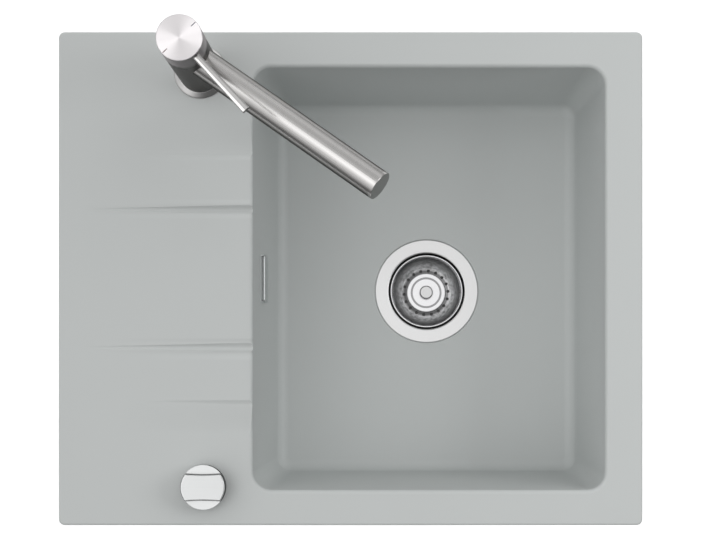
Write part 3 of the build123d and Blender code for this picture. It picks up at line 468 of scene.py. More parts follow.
@dataclass(frozen=True)
class MattCeramic:
    """Matt light grey moulding with a very fine grain, and painted shade and painted highlights along its
    drainer's grooves and valleys.
    """

    name: str
    colour: Colour
    roughness: float = 0.46
    grain_size: float = 0.5 * MM
    grain_gloss: float = 0.12
    grain_depth: float = 0.03 * MM
    grain_relief: float = 0.5
    cloud_size: float = 60 * MM
    cloud_gloss: float = 0.06
    mottle: float = 0.025
    spread: float = 0.5
    lip: float = -97 * MM
    # Bands of painted shade and painted highlight along the drainer.
    painted_shading: tuple[PaintedDrainerShading, ...] = ()

    def material(self) -> bpy.types.Material:
        """Builds the finish's material."""
        tree = ShaderTree(self.name)
        cloud = tree.noise(self.cloud_size, detail=3.0)
        grain = tree.noise(self.grain_size)
        tone = self.mottle * cloud + self.mottle * grain + (0.5 - self.mottle)
        # Painted shade and painted highlights along the drainer's grooves and valleys.
        for painted_band in self.painted_shading:
            tone = tone - painted_band.strength(tree, self.lip)
        dark = shade(self.colour, 1 - self.spread)
        light = shade(self.colour, 1 + self.spread)
        return tree.close({
            "Base Color": tree.between(tone, dark, light),
            "Roughness": uneven(self.roughness, grain, self.grain_gloss, cloud, self.cloud_gloss),
            "Normal": tree.bump(grain, self.grain_depth, self.grain_relief),
        })


class Lay(Enum):
    """Direction of the marks that a metal piece was finished with."""

    ROUND = "round an upright axis"
    ALONG = "along the piece"


@dataclass(frozen=True)
class Faces:
    """Stretches along a direction where a metal keeps its tone; off them its tone is painted darker as
    painted shade, or lighter as painted light.

    Attributes:
        direction: unit vector.
        spans: start and end of each stretch, and its share of the full tone.
        elsewhere: share of the tone off the stretches, below 1 for painted shade, above 1 for painted
            light.
        metallic: how metallic the piece looks off the stretches.
    """

    direction: Point
    spans: tuple[tuple[float, float, float], ...]
    elsewhere: float
    metallic: float = 1.0

    def mask(self, tree: ShaderTree) -> Field:
        """Each stretch's share of the full tone, otherwise 0."""
        level = tree.along(self.direction)
        return sum((share * ((level > low) - (level > high)) for low, high, share in self.spans), 0.0)


@dataclass(frozen=True)
class BrushedMetal:
    """Metal with fine drawn or turned marks, and on some pieces painted shade and painted light.

    Attributes:
        lay: which way the marks run.
        axis: upright axis that turned marks run round.
        direction: unit vector that drawn marks run along.
        pitch: mean distance between marks.
        depth: depth of the marks.
        stretch: how many times longer than wide a drawn mark is.
        anisotropy: how far turned marks draw the gloss out.
        rotation: turn of that gloss, as a share of a full turn.
        faces: stretches that keep the plain tone, the rest painted darker or lighter and duller: painted
            shade and painted light.
        underside_shade: share of the tone where the surface doesn't face up: painted shade.
        edge: share of the gloss that is left at a grazing angle.
        mark_tones: shares of the tone in the marks and between them.
        mark_gloss: how far the marks move the roughness.
        smudge_size: size of one smudge.
        smudge_gloss: how far the smudges move the roughness.
        shade_slope: how fast the painted shade fades as the surface turns up.
        shade_drop: how late it starts to fade.
    """

    name: str
    colour: Colour
    roughness: float
    lay: Lay
    axis: Pair = (0.0, 0.0)
    direction: Point = (1.0, 0.0, 0.0)
    pitch: float = 0.35 * MM
    depth: float = 0.004 * MM
    stretch: float = 120.0
    anisotropy: float = 0.0
    rotation: float = 0.0
    faces: Faces | None = None
    underside_shade: float = 1.0
    edge: float = 1.0
    mark_tones: Pair = (0.93, 1.05)
    mark_gloss: float = 0.08
    smudge_size: float = 25 * MM
    smudge_gloss: float = 0.04
    shade_slope: float = 2.0
    shade_drop: float = 0.6

    def marks(self, tree: ShaderTree) -> Field:
        """The finishing marks, as a relief between 0 and 1."""
        if self.lay is Lay.ROUND:
            _, _, z = tree.axes()
            return tree.streaks(tree.radius(self.axis) + z, self.pitch)
        return tree.noise(self.pitch, 3.0, tree.drawn_out(self.direction, self.stretch))

    def material(self) -> bpy.types.Material:
        """Builds the finish's material."""
        tree = ShaderTree(self.name)
        marks = self.marks(tree)
        smudge = tree.noise(self.smudge_size, detail=3.0)
        dark, light = (shade(self.colour, share) for share in self.mark_tones)
        tone = tree.between(marks, dark, light)
        metallic: Number = 1.0
        # Painted shade and painted light: off the stretches of faces the tone is painted darker or
        # lighter.
        if self.faces:
            unpainted = self.faces.mask(tree)
            tone = tree.between(unpainted, shade(self.colour, self.faces.elsewhere), tone)
            if self.faces.metallic < 1.0:
                metallic = unpainted * (1 - self.faces.metallic) + self.faces.metallic
        # Painted shade: darker where the surface doesn't face up.
        if self.underside_shade < 1.0:
            facing_up = (self.shade_slope * tree.upward() - self.shade_drop).clamped()
            tone = tree.between(facing_up, shade(self.colour, self.underside_shade), tone)
        return tree.close({
            "Base Color": tone,
            "Metallic": metallic,
            "Roughness": uneven(self.roughness, marks, self.mark_gloss, smudge, self.smudge_gloss),
            "Anisotropic": self.anisotropy,
            "Anisotropic Rotation": self.rotation,
            "Specular Tint": (self.edge, self.edge, self.edge, OPAQUE),
            "Normal": tree.bump(marks, self.depth),
        })


@dataclass(frozen=True)
class BrightMetal:
    """Polished or plated metal with faint clouds and fine scratches."""

    name: str
    colour: Colour
    roughness: float
    mottle: float = 0.06
    mottle_size: float = 6 * MM
    mottle_gloss: float = 0.6

    def material(self) -> bpy.types.Material:
        """Builds the finish's material."""
        tree = ShaderTree(self.name)
        cloud = tree.noise(self.mottle_size, detail=4.0)
        scratch = tree.scratches()
        dark = shade(self.colour, 1 - self.mottle)
        light = shade(self.colour, 1 + self.mottle / 2)
        gloss = (1 - self.mottle_gloss / 2) + self.mottle_gloss * cloud
        return tree.close({
            "Base Color": tree.between(cloud, dark, light),
            "Metallic": 1.0,
            "Roughness": self.roughness * gloss + SCRATCH_GLOSS * scratch,
            "Normal": tree.bump(scratch, SCRATCH_DEPTH, SCRATCH_RELIEF),
        })


@dataclass(frozen=True)
class PressedSteel:
    """Deep-pressed basket: a bright disc, painted shade in the groove and channel round it, and a dull
    wall painted lighter with dark blotches, as painted reflections, and painted shadow under its rim.

    Attributes:
        groove: radius and half width of the groove round the button.
        groove_shade: how much painted shade lies in the groove.
        channel: radius and half width of the channel round the disc.
        channel_shade: how much painted shade lies in the channel.
        shade_tone: share of the tone that is left in full painted shade.
        wall_start: radius where the wall begins.
        wall_roughness: roughness of the wall.
        wall_metallic: how metallic the wall looks.
        wall_tones: shares of the tone on the wall, painted lighter between the blotches and darker in
            them: painted reflections.
        shadow_start: radius where the painted shadow under the rim begins on the wall.
        rim_start: radius where the wall ends in the rim.
        blotch_size: size of one blotch.
        blotch_contrast: how sharply the blotches stand out.
        blotch_drop: how much of the wall they leave plain.
    """

    name: str
    colour: Colour
    axis: Pair
    roughness: float = 0.16
    groove: Pair = (16.0 * MM, 1.3 * MM)
    groove_shade: float = 0.6
    channel: Pair = (23.4 * MM, 3.4 * MM)
    channel_shade: float = 0.85
    shade_tone: float = 0.05
    wall_start: float = 26 * MM
    wall_roughness: float = 0.48
    wall_metallic: float = 0.1
    wall_tones: Pair = (1.35, 0.55)
    shadow_start: float = 29.5 * MM
    rim_start: float = 36.4 * MM
    blotch_size: float = 4.5 * MM
    blotch_contrast: float = 3.2
    blotch_drop: float = 1.3

    def painted_shade(self, tree: ShaderTree, reach: Field, wall: Field) -> Field:
        """How much painted shade lies on each place.

        Args:
            tree: the material's nodes.
            reach: distance from the basket's axis.
            wall: 1 on the wall, otherwise 0.

        Returns:
            A share between 0 and 1.
        """
        channel = self.channel_shade * tree.band(reach, *self.channel)
        groove = self.groove_shade * tree.band(reach, *self.groove)
        rise = ((reach - self.shadow_start) * (1 / (self.rim_start - self.shadow_start))).at_least(0.0)
        return (channel + groove + wall * rise).at_most(1.0)

    def material(self) -> bpy.types.Material:
        """Builds the finish's material."""
        tree = ShaderTree(self.name)
        reach = tree.radius(self.axis)
        wall = (reach > self.wall_start) - (reach > self.rim_start)
        # Dark blotches on the lighter wall: painted reflections.
        marks = (self.blotch_contrast * tree.noise(self.blotch_size) - self.blotch_drop).clamped()
        scratch = tree.scratches()
        plain, blotched = (shade(self.colour, share) for share in self.wall_tones)
        tone = tree.between(wall, self.colour, tree.between(marks, plain, blotched))
        # Painted shade in the groove and channel, and painted shadow on the wall under the rim.
        shaded = shade(self.colour, self.shade_tone)
        dulling = wall * (self.wall_roughness - self.roughness)
        return tree.close({
            "Base Color": tree.between(self.painted_shade(tree, reach, wall), tone, shaded),
            "Metallic": 1.0 - (1 - self.wall_metallic) * wall,
            "Roughness": dulling + (SCRATCH_GLOSS * scratch + self.roughness),
            "Normal": tree.bump(scratch, SCRATCH_DEPTH, SCRATCH_RELIEF),
        })


@dataclass(frozen=True)
class Moulded:
    """Rubber or plastic with a fine moulded grain and pale rubbed spots."""

    name: str
    colour: Colour
    roughness: float
    grain_size: float = 0.4 * MM
    grain_gloss: float = 0.14
    grain_depth: float = 0.02 * MM
    grain_relief: float = 0.7
    cloud_size: float = 18 * MM
    cloud_gloss: float = 0.10
    cloud_tones: Pair = (0.92, 1.10)

    def material(self) -> bpy.types.Material:
        """Builds the finish's material."""
        tree = ShaderTree(self.name)
        cloud = tree.noise(self.cloud_size, detail=3.0)
        grain = tree.noise(self.grain_size, detail=3.0)
        plain, rubbed = (shade(self.colour, share) for share in self.cloud_tones)
        return tree.close({
            "Base Color": tree.between(cloud, plain, rubbed),
            "Roughness": uneven(self.roughness, grain, self.grain_gloss, cloud, self.cloud_gloss),
            "Normal": tree.bump(grain, self.grain_depth, self.grain_relief),
        })


@cache
def material_of(finish: Finish) -> bpy.types.Material:
    """One material for each finish, however many pieces have it."""
    return finish.material()


# Upright axes of the fittings, and the ways that their pieces point.
TAP_AXIS: Pair = (-0.149, 0.2048)
CONTROL_AXIS: Pair = (-0.145, -0.2066)
WASTE_AXIS: Pair = (0.0785, -0.0029)
SPOUT_AZIMUTH = math.radians(-36.0)
SPOUT_RISE = math.radians(13.6)
LEVER_AZIMUTH = math.radians(-47.0)

UP: Point = (0.0, 0.0, 1.0)
SPOUT_WAY: Point = (
    math.cos(SPOUT_RISE) * math.cos(SPOUT_AZIMUTH),
    math.cos(SPOUT_RISE) * math.sin(SPOUT_AZIMUTH),
    math.sin(SPOUT_RISE),
)
LEVER_WAY: Point = (math.cos(LEVER_AZIMUTH), math.sin(LEVER_AZIMUTH), 0.0)
LEVER_SIDE: Point = (LEVER_WAY[1], -LEVER_WAY[0], 0.0)
OVERFLOW_OUT: Point = (0.9975, 0.0, 0.0706)
OVERFLOW_UP: Point = (-0.0706, 0.0, 0.9975)


def reach_of(node: str, direction: Point) -> float:
    """How far a carried-over solid reaches along a direction.

    Args:
        node: the solid's node.
        direction: unit vector.

    Returns:
        The distance from the origin, in metres.
    """
    way = Vector(direction)
    return max(way.dot(vert.co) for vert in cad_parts[node].data.vertices)


# How far the pieces with painted shade or painted light reach.
FAR = 1.0
CAP_TOP = reach_of("lever_cap", UP)
KNOB_TOP = reach_of("control_knob", UP)
FLANGE_TOP = reach_of("waste_cup", UP)
SPOUT_TIP = reach_of("spout_end", SPOUT_WAY)
BLADE_EDGE = reach_of("lever_blade", LEVER_SIDE)
COVER_FRONT = reach_of("overflow_cover", OVERFLOW_OUT)

# Depth of each stretch that keeps the plain tone, past which the tone is painted darker or lighter. The
# knob's two segments lie a step below its web.
CAP_FACE = 1.0 * MM
KNOB_FACE = 0.9 * MM
KNOB_STEP = 6.5 * MM
KNOB_SEGMENT = KNOB_TOP - KNOB_STEP
SEGMENT_FACE = 0.25 * MM
FLANGE_FACE = 1.6 * MM
END_FACE = 0.5 * MM
BLADE_FACE = 3.2 * MM
COVER_FACE = 1.9 * MM

# Finishes.
STEEL_TONE: Colour = (0.60, 0.59, 0.58)
CERAMIC_TONE: Colour = (0.59, 0.613, 0.607)
CERAMIC = MattCeramic(
    "matt_ceramic",
    CERAMIC_TONE,
    # Bands of painted shade, and of painted highlight where the darkness is below 0, along the drainer's
    # grooves and valleys.
    painted_shading=(
        PaintedDrainerShading(68.9 * MM, 5.0 * MM, 0.12, -270 * MM),
        PaintedDrainerShading(76.5 * MM, 2.6 * MM, -0.05, -220 * MM),
        PaintedDrainerShading(62.0 * MM, 3.0 * MM, -0.05, -250 * MM),
        PaintedDrainerShading(-61.2 * MM, 2.2 * MM, 0.09, -240 * MM),
        PaintedDrainerShading(-72.7 * MM, 2.2 * MM, 0.10, -250 * MM),
        PaintedDrainerShading(-78.4 * MM, 3.2 * MM, -0.05, -220 * MM),
        PaintedDrainerShading(-137.0 * MM, 17.0 * MM, 0.06, -230 * MM),
        PaintedDrainerShading(141.0 * MM, 19.0 * MM, 0.05, -220 * MM),
        PaintedDrainerShading(119.6 * MM, 3.0 * MM, -0.05, -210 * MM),
    ),
)
RUBBER = Moulded("seal_rubber", (0.03, 0.03, 0.032), 0.75)
SEALANT = Moulded("grey_sealant", CERAMIC_TONE, 0.5)
GREY_PLASTIC = Moulded("grey_plastic", (0.42, 0.43, 0.44), 0.45)
DARK_PLASTIC = Moulded("dark_plastic", (0.035, 0.036, 0.04), 0.42)
ZINC = BrightMetal("zinc_plate", (0.62, 0.64, 0.68), 0.30, 0.18, 3 * MM)
BRASS = BrightMetal("cast_brass", (0.68, 0.50, 0.22), 0.32, 0.15, 5 * MM)
BASKET_STEEL = PressedSteel("pressed_steel", (0.70, 0.70, 0.71), WASTE_AXIS)
FLANGE_STEEL = BrushedMetal(
    "spun_flange",
    (0.72, 0.72, 0.72),
    0.34,
    Lay.ROUND,
    WASTE_AXIS,
    # Painted shade: below the flange's top face the cup is painted dark.
    faces=Faces(UP, ((FLANGE_TOP - FLANGE_FACE, FAR, 1.0),), 0.10),
)
BUTTON_STEEL = BrushedMetal("spun_button", (0.68, 0.68, 0.68), 0.36, Lay.ROUND, WASTE_AXIS)
COVER_STEEL = BrushedMetal(
    "overflow_steel",
    (0.62, 0.64, 0.64),
    0.34,
    Lay.ALONG,
    direction=(0.0, 1.0, 0.0),
    # Painted light: off the cover's front, its inside is painted lighter and not metallic.
    faces=Faces(OVERFLOW_OUT, ((COVER_FRONT - COVER_FACE, FAR, 1.0),), 1.3, 0.0),
)
KNOB_STEEL = BrushedMetal(
    "satin_knob",
    (0.74, 0.75, 0.75),
    0.40,
    Lay.ALONG,
    # Painted shade: the knob's sides and the creases at its web are painted dark; the web's top is a
    # little darker than the segments' floors.
    faces=Faces(
        UP,
        (
            (KNOB_TOP - KNOB_FACE, FAR, 0.88),
            (KNOB_SEGMENT - SEGMENT_FACE, KNOB_SEGMENT + SEGMENT_FACE, 1.0),
        ),
        0.45,
    ),
    edge=0.15,
)
COLLAR_STEEL = BrushedMetal(
    "satin_collar",
    (0.55, 0.55, 0.55),
    0.30,
    Lay.ROUND,
    CONTROL_AXIS,
    edge=0.3,
)
COLUMN_STEEL = BrushedMetal(
    "turned_column",
    # Painted shade: a darker copy of the tap's steel tone.
    shade(STEEL_TONE, 0.75),
    0.30,
    Lay.ROUND,
    TAP_AXIS,
    edge=0.2,
)
# Painted light: a lighter copy of the tap's steel tone.
BASE_STEEL = BrushedMetal("turned_base", (0.88, 0.87, 0.86), 0.30, Lay.ROUND, TAP_AXIS)
END_STEEL = BrushedMetal(
    "turned_end",
    STEEL_TONE,
    0.30,
    Lay.ROUND,
    TAP_AXIS,
    # Painted light: the end face is painted lighter than the ring round it; painted shade where the
    # surface doesn't face up.
    faces=Faces(SPOUT_WAY, ((-FAR, SPOUT_TIP - END_FACE, 1.0),), 1.2),
    underside_shade=0.5,
)
CAP_STEEL = BrushedMetal(
    "turned_cap",
    (0.90, 0.87, 0.88),
    0.36,
    Lay.ROUND,
    TAP_AXIS,
    anisotropy=0.95,
    rotation=0.25,
    # Painted shade: the cap's side, below its top face, is painted darker.
    faces=Faces(UP, ((CAP_TOP - CAP_FACE, FAR, 1.0),), 0.5),
    edge=0.2,
)
SPOUT_STEEL = BrushedMetal(
    "drawn_spout",
    STEEL_TONE,
    0.28,
    Lay.ALONG,
    direction=SPOUT_WAY,
    pitch=0.25 * MM,
    depth=0.0008 * MM,
    stretch=500.0,
    # Painted shade: darker where the spout doesn't face up.
    underside_shade=0.36,
    edge=0.25,
)
LEVER_STEEL = BrushedMetal(
    "drawn_lever",
    (0.86, 0.85, 0.84),
    0.26,
    Lay.ALONG,
    direction=LEVER_WAY,
    pitch=0.25 * MM,
    depth=0.0015 * MM,
    stretch=300.0,
    # Painted highlight along the blade's edge, which keeps the full tone; the rest is painted darker, and
    # darker still where it doesn't face up: painted shade.
    faces=Faces(LEVER_SIDE, ((BLADE_EDGE - BLADE_FACE, FAR, 1.0),), 0.5),
    underside_shade=0.55,
    edge=0.4,
)
WARM_MARK = Moulded("warm_mark", (0.20, 0.13, 0.12), 0.5)
COLD_MARK = Moulded("cold_mark", (0.16, 0.17, 0.20), 0.5)


def add_piece(name: str, shape: bmesh.types.BMesh, body: str, finish: Finish) -> None:
    """Puts a new mesh in the scene.

    Args:
        name: the piece's name.
        shape: its mesh, in the frame of the solids, which is used up.
        body: the body that it rides on.
        finish: what it is made of.
    """
    bmesh.ops.recalc_face_normals(shape, faces=shape.faces)
    mesh = bpy.data.meshes.new(name)
    shape.to_mesh(mesh)
    shape.free()
    mesh.materials.append(material_of(finish))
    piece = bpy.data.objects.new(name, mesh)
    bpy.context.scene.collection.objects.link(piece)
    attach(piece, body)
    LOG.info("piece %s on %s", name, body)


def skin(shape: bmesh.types.BMesh, rows: Sequence[Row]) -> None:
    """Joins each closed row of points to the next with a band of faces.

    Args:
        shape: the mesh that holds the points.
        rows: the rows, all with as many points.
    """
    for first, second in zip(rows, rows[1:]):
        for i in range(len(first)):
            j = (i + 1) % len(first)
            shape.faces.new((first[i], first[j], second[j], second[i]))


# Points closer than this are one.
WELD = 0.001 * MM


def islands(node: str) -> list[tuple[Vector, Vector]]:
    """Boxes of the separate solids in a carried-over node.

    Args:
        node: the node's name.

    Returns:
        Lowest and highest corner of each solid.
    """
    shape = bmesh.new()
    shape.from_mesh(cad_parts[node].data)
    bmesh.ops.remove_doubles(shape, verts=shape.verts, dist=WELD)
    left = set(shape.verts)
    boxes = []
    while left:
        queue = [left.pop()]
        found = list(queue)
        while queue:
            here = queue.pop()
            near = {edge.other_vert(here) for edge in here.link_edges} & left
            left -= near
            queue.extend(near)
            found.extend(near)
        low = Vector(min(vert.co[i] for vert in found) for i in range(3))
        high = Vector(max(vert.co[i] for vert in found) for i in range(3))
        boxes.append((low, high))
    shape.free()
    return sorted(boxes, key=lambda ends: tuple(ends[0]))


@dataclass(frozen=True)
class Thread:
    """Helical ridge on an upright cylinder.

    Attributes:
        radius: radius of the cylinder.
        pitch: rise of one turn.
        height: height of the ridge.
        steps: points in one turn.
        sunk: share of the height that lies inside the cylinder.
        foot: start and end of the ridge's foot, as shares of the pitch.
        crest: start and end of its crest, as shares of the pitch.
    """

    radius: float
    pitch: float
    height: float
    steps: int = 24
    sunk: float = 0.25
    foot: Pair = (0.05, 0.95)
    crest: Pair = (0.42, 0.58)

    def cut(self, shape: bmesh.types.BMesh, x: float, y: float, low: float, high: float) -> None:
        """Adds the ridge to a mesh, fading in and out over one turn at each end.

        Args:
            shape: the mesh.
            x: where the cylinder's axis stands.
            y: where the cylinder's axis stands.
            low: height of the ridge's start.
            high: height of the ridge's end.
        """
        turns = (high - low) / self.pitch - 1
        count = int(turns * self.steps)
        root = self.radius - self.height * self.sunk
        top = self.radius + self.height
        profile = ((root, self.foot[0]), (top, self.crest[0]), (top, self.crest[1]), (root, self.foot[1]))
        rows = []
        for i in range(count + 1):
            angle = 2 * math.pi * i / self.steps
            rise = low + self.pitch * i / self.steps
            fade = min(1.0, i / self.steps, (count - i) / self.steps)
            row = []
            for reach, share in profile:
                reach = root + (reach - root) * fade
                height = rise + share * self.pitch
                place = (x + reach * math.cos(angle), y + reach * math.sin(angle), height)
                row.append(shape.verts.new(place))
            rows.append(row)
        skin(shape, rows)
        shape.faces.new(rows[0])
        shape.faces.new(rows[-1][::-1])


@dataclass
class SubAssembly:
    """A group of carried-over solids, with the finish of each."""

    finishes: dict[str, Finish]

    def dress(self) -> None:
        """Gives each solid its finish."""
        for node, finish in self.finishes.items():
            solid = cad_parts[node]
            for slot in solid.material_slots:
                slot.material = material_of(finish)
            LOG.info("solid %s in %s", node, finish.name)

    def build(self) -> None:
        """Adds the pieces that the solids leave out."""


@dataclass
class SinkBody(SubAssembly):
    """The moulding and the seal under its rim."""

    finishes: dict[str, Finish] = field(default_factory=lambda: {
        "sink_moulding": CERAMIC,
        "rim_seal": RUBBER,
    })


@dataclass
class WorktopClips(SubAssembly):
    """Clips that hold the rim down on a worktop."""

    thread: Thread = Thread(3.0 * MM, 1.0 * MM, 0.3 * MM, 16)
    head_height: float = 4.2 * MM
    finishes: dict[str, Finish] = field(default_factory=lambda: {
        "clip_brackets": ZINC,
        "clip_jaws": ZINC,
        "clip_screws": ZINC,
    })

    def build(self) -> None:
        """Cuts a thread on each clip's screw."""
        shape = bmesh.new()
        for low, high in islands("clip_screws"):
            middle = (low + high) / 2
            start = low.z + self.head_height
            end = high.z - self.thread.pitch
            self.thread.cut(shape, middle.x, middle.y, start, end)
        add_piece("clip_threads", shape, "sink", ZINC)


@dataclass
class Overflow(SubAssembly):
    """Cover in the bowl with a comb in its open top, and the housing and pipe behind it.

    Attributes:
        depth: how far the cover's front stands off the bowl's wall.
        sheet: thickness of the cover's sheet.
        drop: how far the comb lies below the cover's top.
        tooth: length, width and thickness of one tooth.
        spine: thickness and height of the comb's spine.
        pitch: distance between teeth.
        edge: how far the comb's edges are broken.
    """

    depth: float = 4.6 * MM
    sheet: float = 1.4 * MM
    drop: float = 2.6 * MM
    tooth: Point = (2.6 * MM, 0.8 * MM, 0.9 * MM)
    spine: Pair = (0.6 * MM, 3.2 * MM)
    pitch: float = 1.25 * MM
    edge: float = 0.12 * MM
    finishes: dict[str, Finish] = field(default_factory=lambda: {
        "overflow_cover": COVER_STEEL,
        "overflow_seal": RUBBER,
        "overflow_housing": GREY_PLASTIC,
        "overflow_screws": ZINC,
        "overflow_pipe": GREY_PLASTIC,
        "overflow_nuts": DARK_PLASTIC,
    })

    def comb(self) -> bmesh.types.BMesh:
        """Comb of short teeth across the cover's open top, with its spine along the bowl's wall."""
        shape = bmesh.new()
        low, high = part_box("overflow_cover")
        middle = (low.y + high.y) / 2
        length = high.y - low.y - 2 * self.sheet
        wall = COVER_FRONT - self.depth
        top = reach_of("overflow_cover", OVERFLOW_UP) - self.drop
        thick, tall = self.spine
        foot = top - self.tooth[2]
        count = int(length / self.pitch)
        bars = [((wall + thick / 2, middle, foot + tall / 2), (thick, length, tall))]
        for i in range(count):
            along = middle + (i - (count - 1) / 2) * self.pitch
            bars.append(((wall + thick + self.tooth[0] / 2, along, (top + foot) / 2), self.tooth))
        turn = Matrix((OVERFLOW_OUT, (0.0, 1.0, 0.0), OVERFLOW_UP)).transposed().to_4x4()
        for place, size in bars:
            seat = turn @ Matrix.Translation(place) @ Matrix.Diagonal((*size, 1.0))
            bmesh.ops.create_cube(shape, size=1.0, matrix=seat)
        bmesh.ops.bevel(shape, geom=shape.edges[:], offset=self.edge, segments=1, affect="EDGES")
        return shape

    def build(self) -> None:
        """Sets the comb in the cover."""
        add_piece("overflow_comb", self.comb(), "sink", COVER_STEEL)


@dataclass
class Waste(SubAssembly):
    """Cup, waste body and the gear that lifts the basket."""

    thread: Thread = Thread(23.9 * MM, 2.3 * MM, 0.6 * MM, 48)
    thread_start: float = 0.5 * MM
    thread_length: float = 22 * MM
    bead_inside: float = 56.55 * MM
    bead_outside: float = 57.95 * MM
    bead_drop: float = 0.35 * MM
    bead_depth: float = 2.6 * MM
    bead_hollow: float = 0.2 * MM
    bead_steps: int = 128
    finishes: dict[str, Finish] = field(default_factory=lambda: {
        "waste_cup": FLANGE_STEEL,
        "flange_seal": RUBBER,
        "body_seal": RUBBER,
        "waste_body": GREY_PLASTIC,
        "waste_outlet": GREY_PLASTIC,
        "clamp_screw": ZINC,
        "lift_pin": ZINC,
        "lift_rocker": DARK_PLASTIC,
        "lift_crank": DARK_PLASTIC,
    })

    def bead(self) -> bmesh.types.BMesh:
        """Bead of sealant that fills the gap round the flange, a little hollow on top."""
        shape = bmesh.new()
        middle = (self.bead_inside + self.bead_outside) / 2
        top = FLANGE_TOP - self.bead_drop
        low = top - self.bead_depth
        profile = (
            (self.bead_inside, low),
            (self.bead_outside, low),
            (self.bead_outside, top),
            (middle, top - self.bead_hollow),
            (self.bead_inside, top),
        )
        rings = []
        for i in range(self.bead_steps):
            angle = 2 * math.pi * i / self.bead_steps
            ring = []
            for reach, height in profile:
                x = WASTE_AXIS[0] + reach * math.cos(angle)
                y = WASTE_AXIS[1] + reach * math.sin(angle)
                ring.append(shape.verts.new((x, y, height)))
            rings.append(ring)
        skin(shape, rings + rings[:1])
        return shape

    def build(self) -> None:
        """Fills the gap round the flange and cuts the outlet's thread."""
        add_piece("flange_bead", self.bead(), "sink", SEALANT)
        shape = bmesh.new()
        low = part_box("waste_outlet")[0].z + self.thread_start
        self.thread.cut(shape, *WASTE_AXIS, low, low + self.thread_length)
        add_piece("outlet_thread", shape, "sink", GREY_PLASTIC)


@dataclass
class StrainerBasket(SubAssembly):
    """Basket with its plug disc and button."""

    finishes: dict[str, Finish] = field(default_factory=lambda: {
        "strainer_basket": BASKET_STEEL,
        "basket_seal": RUBBER,
        "basket_button": BUTTON_STEEL,
    })


@dataclass
class RotaryControl(SubAssembly):
    """Knob on the deck, and the housing under it."""

    finishes: dict[str, Finish] = field(default_factory=lambda: {
        "control_knob": KNOB_STEEL,
        "knob_screw": ZINC,
        "control_collar": COLLAR_STEEL,
        "control_collar_seal": RUBBER,
        "control_washer": RUBBER,
        "control_housing": DARK_PLASTIC,
        "housing_cover": DARK_PLASTIC,
        "cover_screws": ZINC,
        "control_spindle": ZINC,
        "cable_drum": GREY_PLASTIC,
    })


@dataclass
class TapColumn(SubAssembly):
    """Fixed pieces of the tap, from its stud to its collar."""

    thread: Thread = Thread(4.0 * MM, 1.25 * MM, 0.35 * MM, 20)
    thread_start: float = 0.3 * MM
    finishes: dict[str, Finish] = field(default_factory=lambda: {
        "tap_base_ring": BASE_STEEL,
        "tap_base_seal": RUBBER,
        "tap_body": BRASS,
        "tap_stud": ZINC,
        "tap_washer": RUBBER,
        "tap_backplate": ZINC,
        "tap_nut": BRASS,
        "lower_slide_ring": DARK_PLASTIC,
        "upper_slide_ring": DARK_PLASTIC,
        "sleeve_rings": RUBBER,
        "cartridge": GREY_PLASTIC,
        "cartridge_nut": BRASS,
        "tap_collar": COLUMN_STEEL,
    })

    def build(self) -> None:
        """Cuts the thread of the stud's free end."""
        low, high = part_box("tap_stud")
        middle = (low + high) / 2
        shape = bmesh.new()
        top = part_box("tap_nut")[0].z
        self.thread.cut(shape, middle.x, middle.y, low.z + self.thread_start, top)
        add_piece("stud_thread", shape, "sink", ZINC)


@dataclass
class TapSpout(SubAssembly):
    """Swivelling sleeve, tube and outlet."""

    finishes: dict[str, Finish] = field(default_factory=lambda: {
        "spout_sleeve": COLUMN_STEEL,
        "spout_tube": SPOUT_STEEL,
        "spout_end": END_STEEL,
        "outlet_nozzle": COLUMN_STEEL,
        "aerator": DARK_PLASTIC,
    })


@dataclass
class TapLever(SubAssembly):
    """Cap and blade that work the cartridge."""

    mark_start: float = 14.6 * MM
    mark_length: float = 5.6 * MM
    mark_width: float = 0.8 * MM
    mark_proud: float = 0.06 * MM
    mark_sunk: float = 0.2 * MM
    mark_steps: int = 8
    finishes: dict[str, Finish] = field(default_factory=lambda: {
        "cartridge_rotor": DARK_PLASTIC,
        "stem_pin": ZINC,
        "lever_stem": BRASS,
        "lever_cap": CAP_STEEL,
        "lever_blade": LEVER_STEEL,
        "lever_screw": ZINC,
    })

    def mark(self, azimuth: float) -> bmesh.types.BMesh:
        """One enamelled line on the cap's top, with rounded ends.

        Args:
            azimuth: its direction from the cap's axis, in radians.

        Returns:
            Its mesh.
        """
        shape = bmesh.new()
        half = self.mark_width / 2
        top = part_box("lever_cap")[1].z
        near = self.mark_start + half
        far = self.mark_start + self.mark_length - half
        outline = []
        for reach, start in ((near, math.pi / 2), (far, -math.pi / 2)):
            for i in range(self.mark_steps + 1):
                angle = start + math.pi * i / self.mark_steps
                outline.append((reach + half * math.cos(angle), half * math.sin(angle)))
        rings = []
        for height in (-self.mark_sunk, self.mark_proud):
            rings.append([shape.verts.new((x, y, height)) for x, y in outline])
        shape.faces.new(rings[1])
        shape.faces.new(rings[0][::-1])
        skin(shape, rings)
        place = Matrix.Translation((*TAP_AXIS, top)) @ Matrix.Rotation(azimuth, 4, "Z")
        bmesh.ops.transform(shape, matrix=place, verts=shape.verts)
        return shape

    def build(self) -> None:
        """Adds the two lines for warm and cold water."""
        across = LEVER_AZIMUTH + math.pi / 2
        add_piece("cold_mark", self.mark(across), "lever", COLD_MARK)
        add_piece("warm_mark", self.mark(across + math.pi), "lever", WARM_MARK)


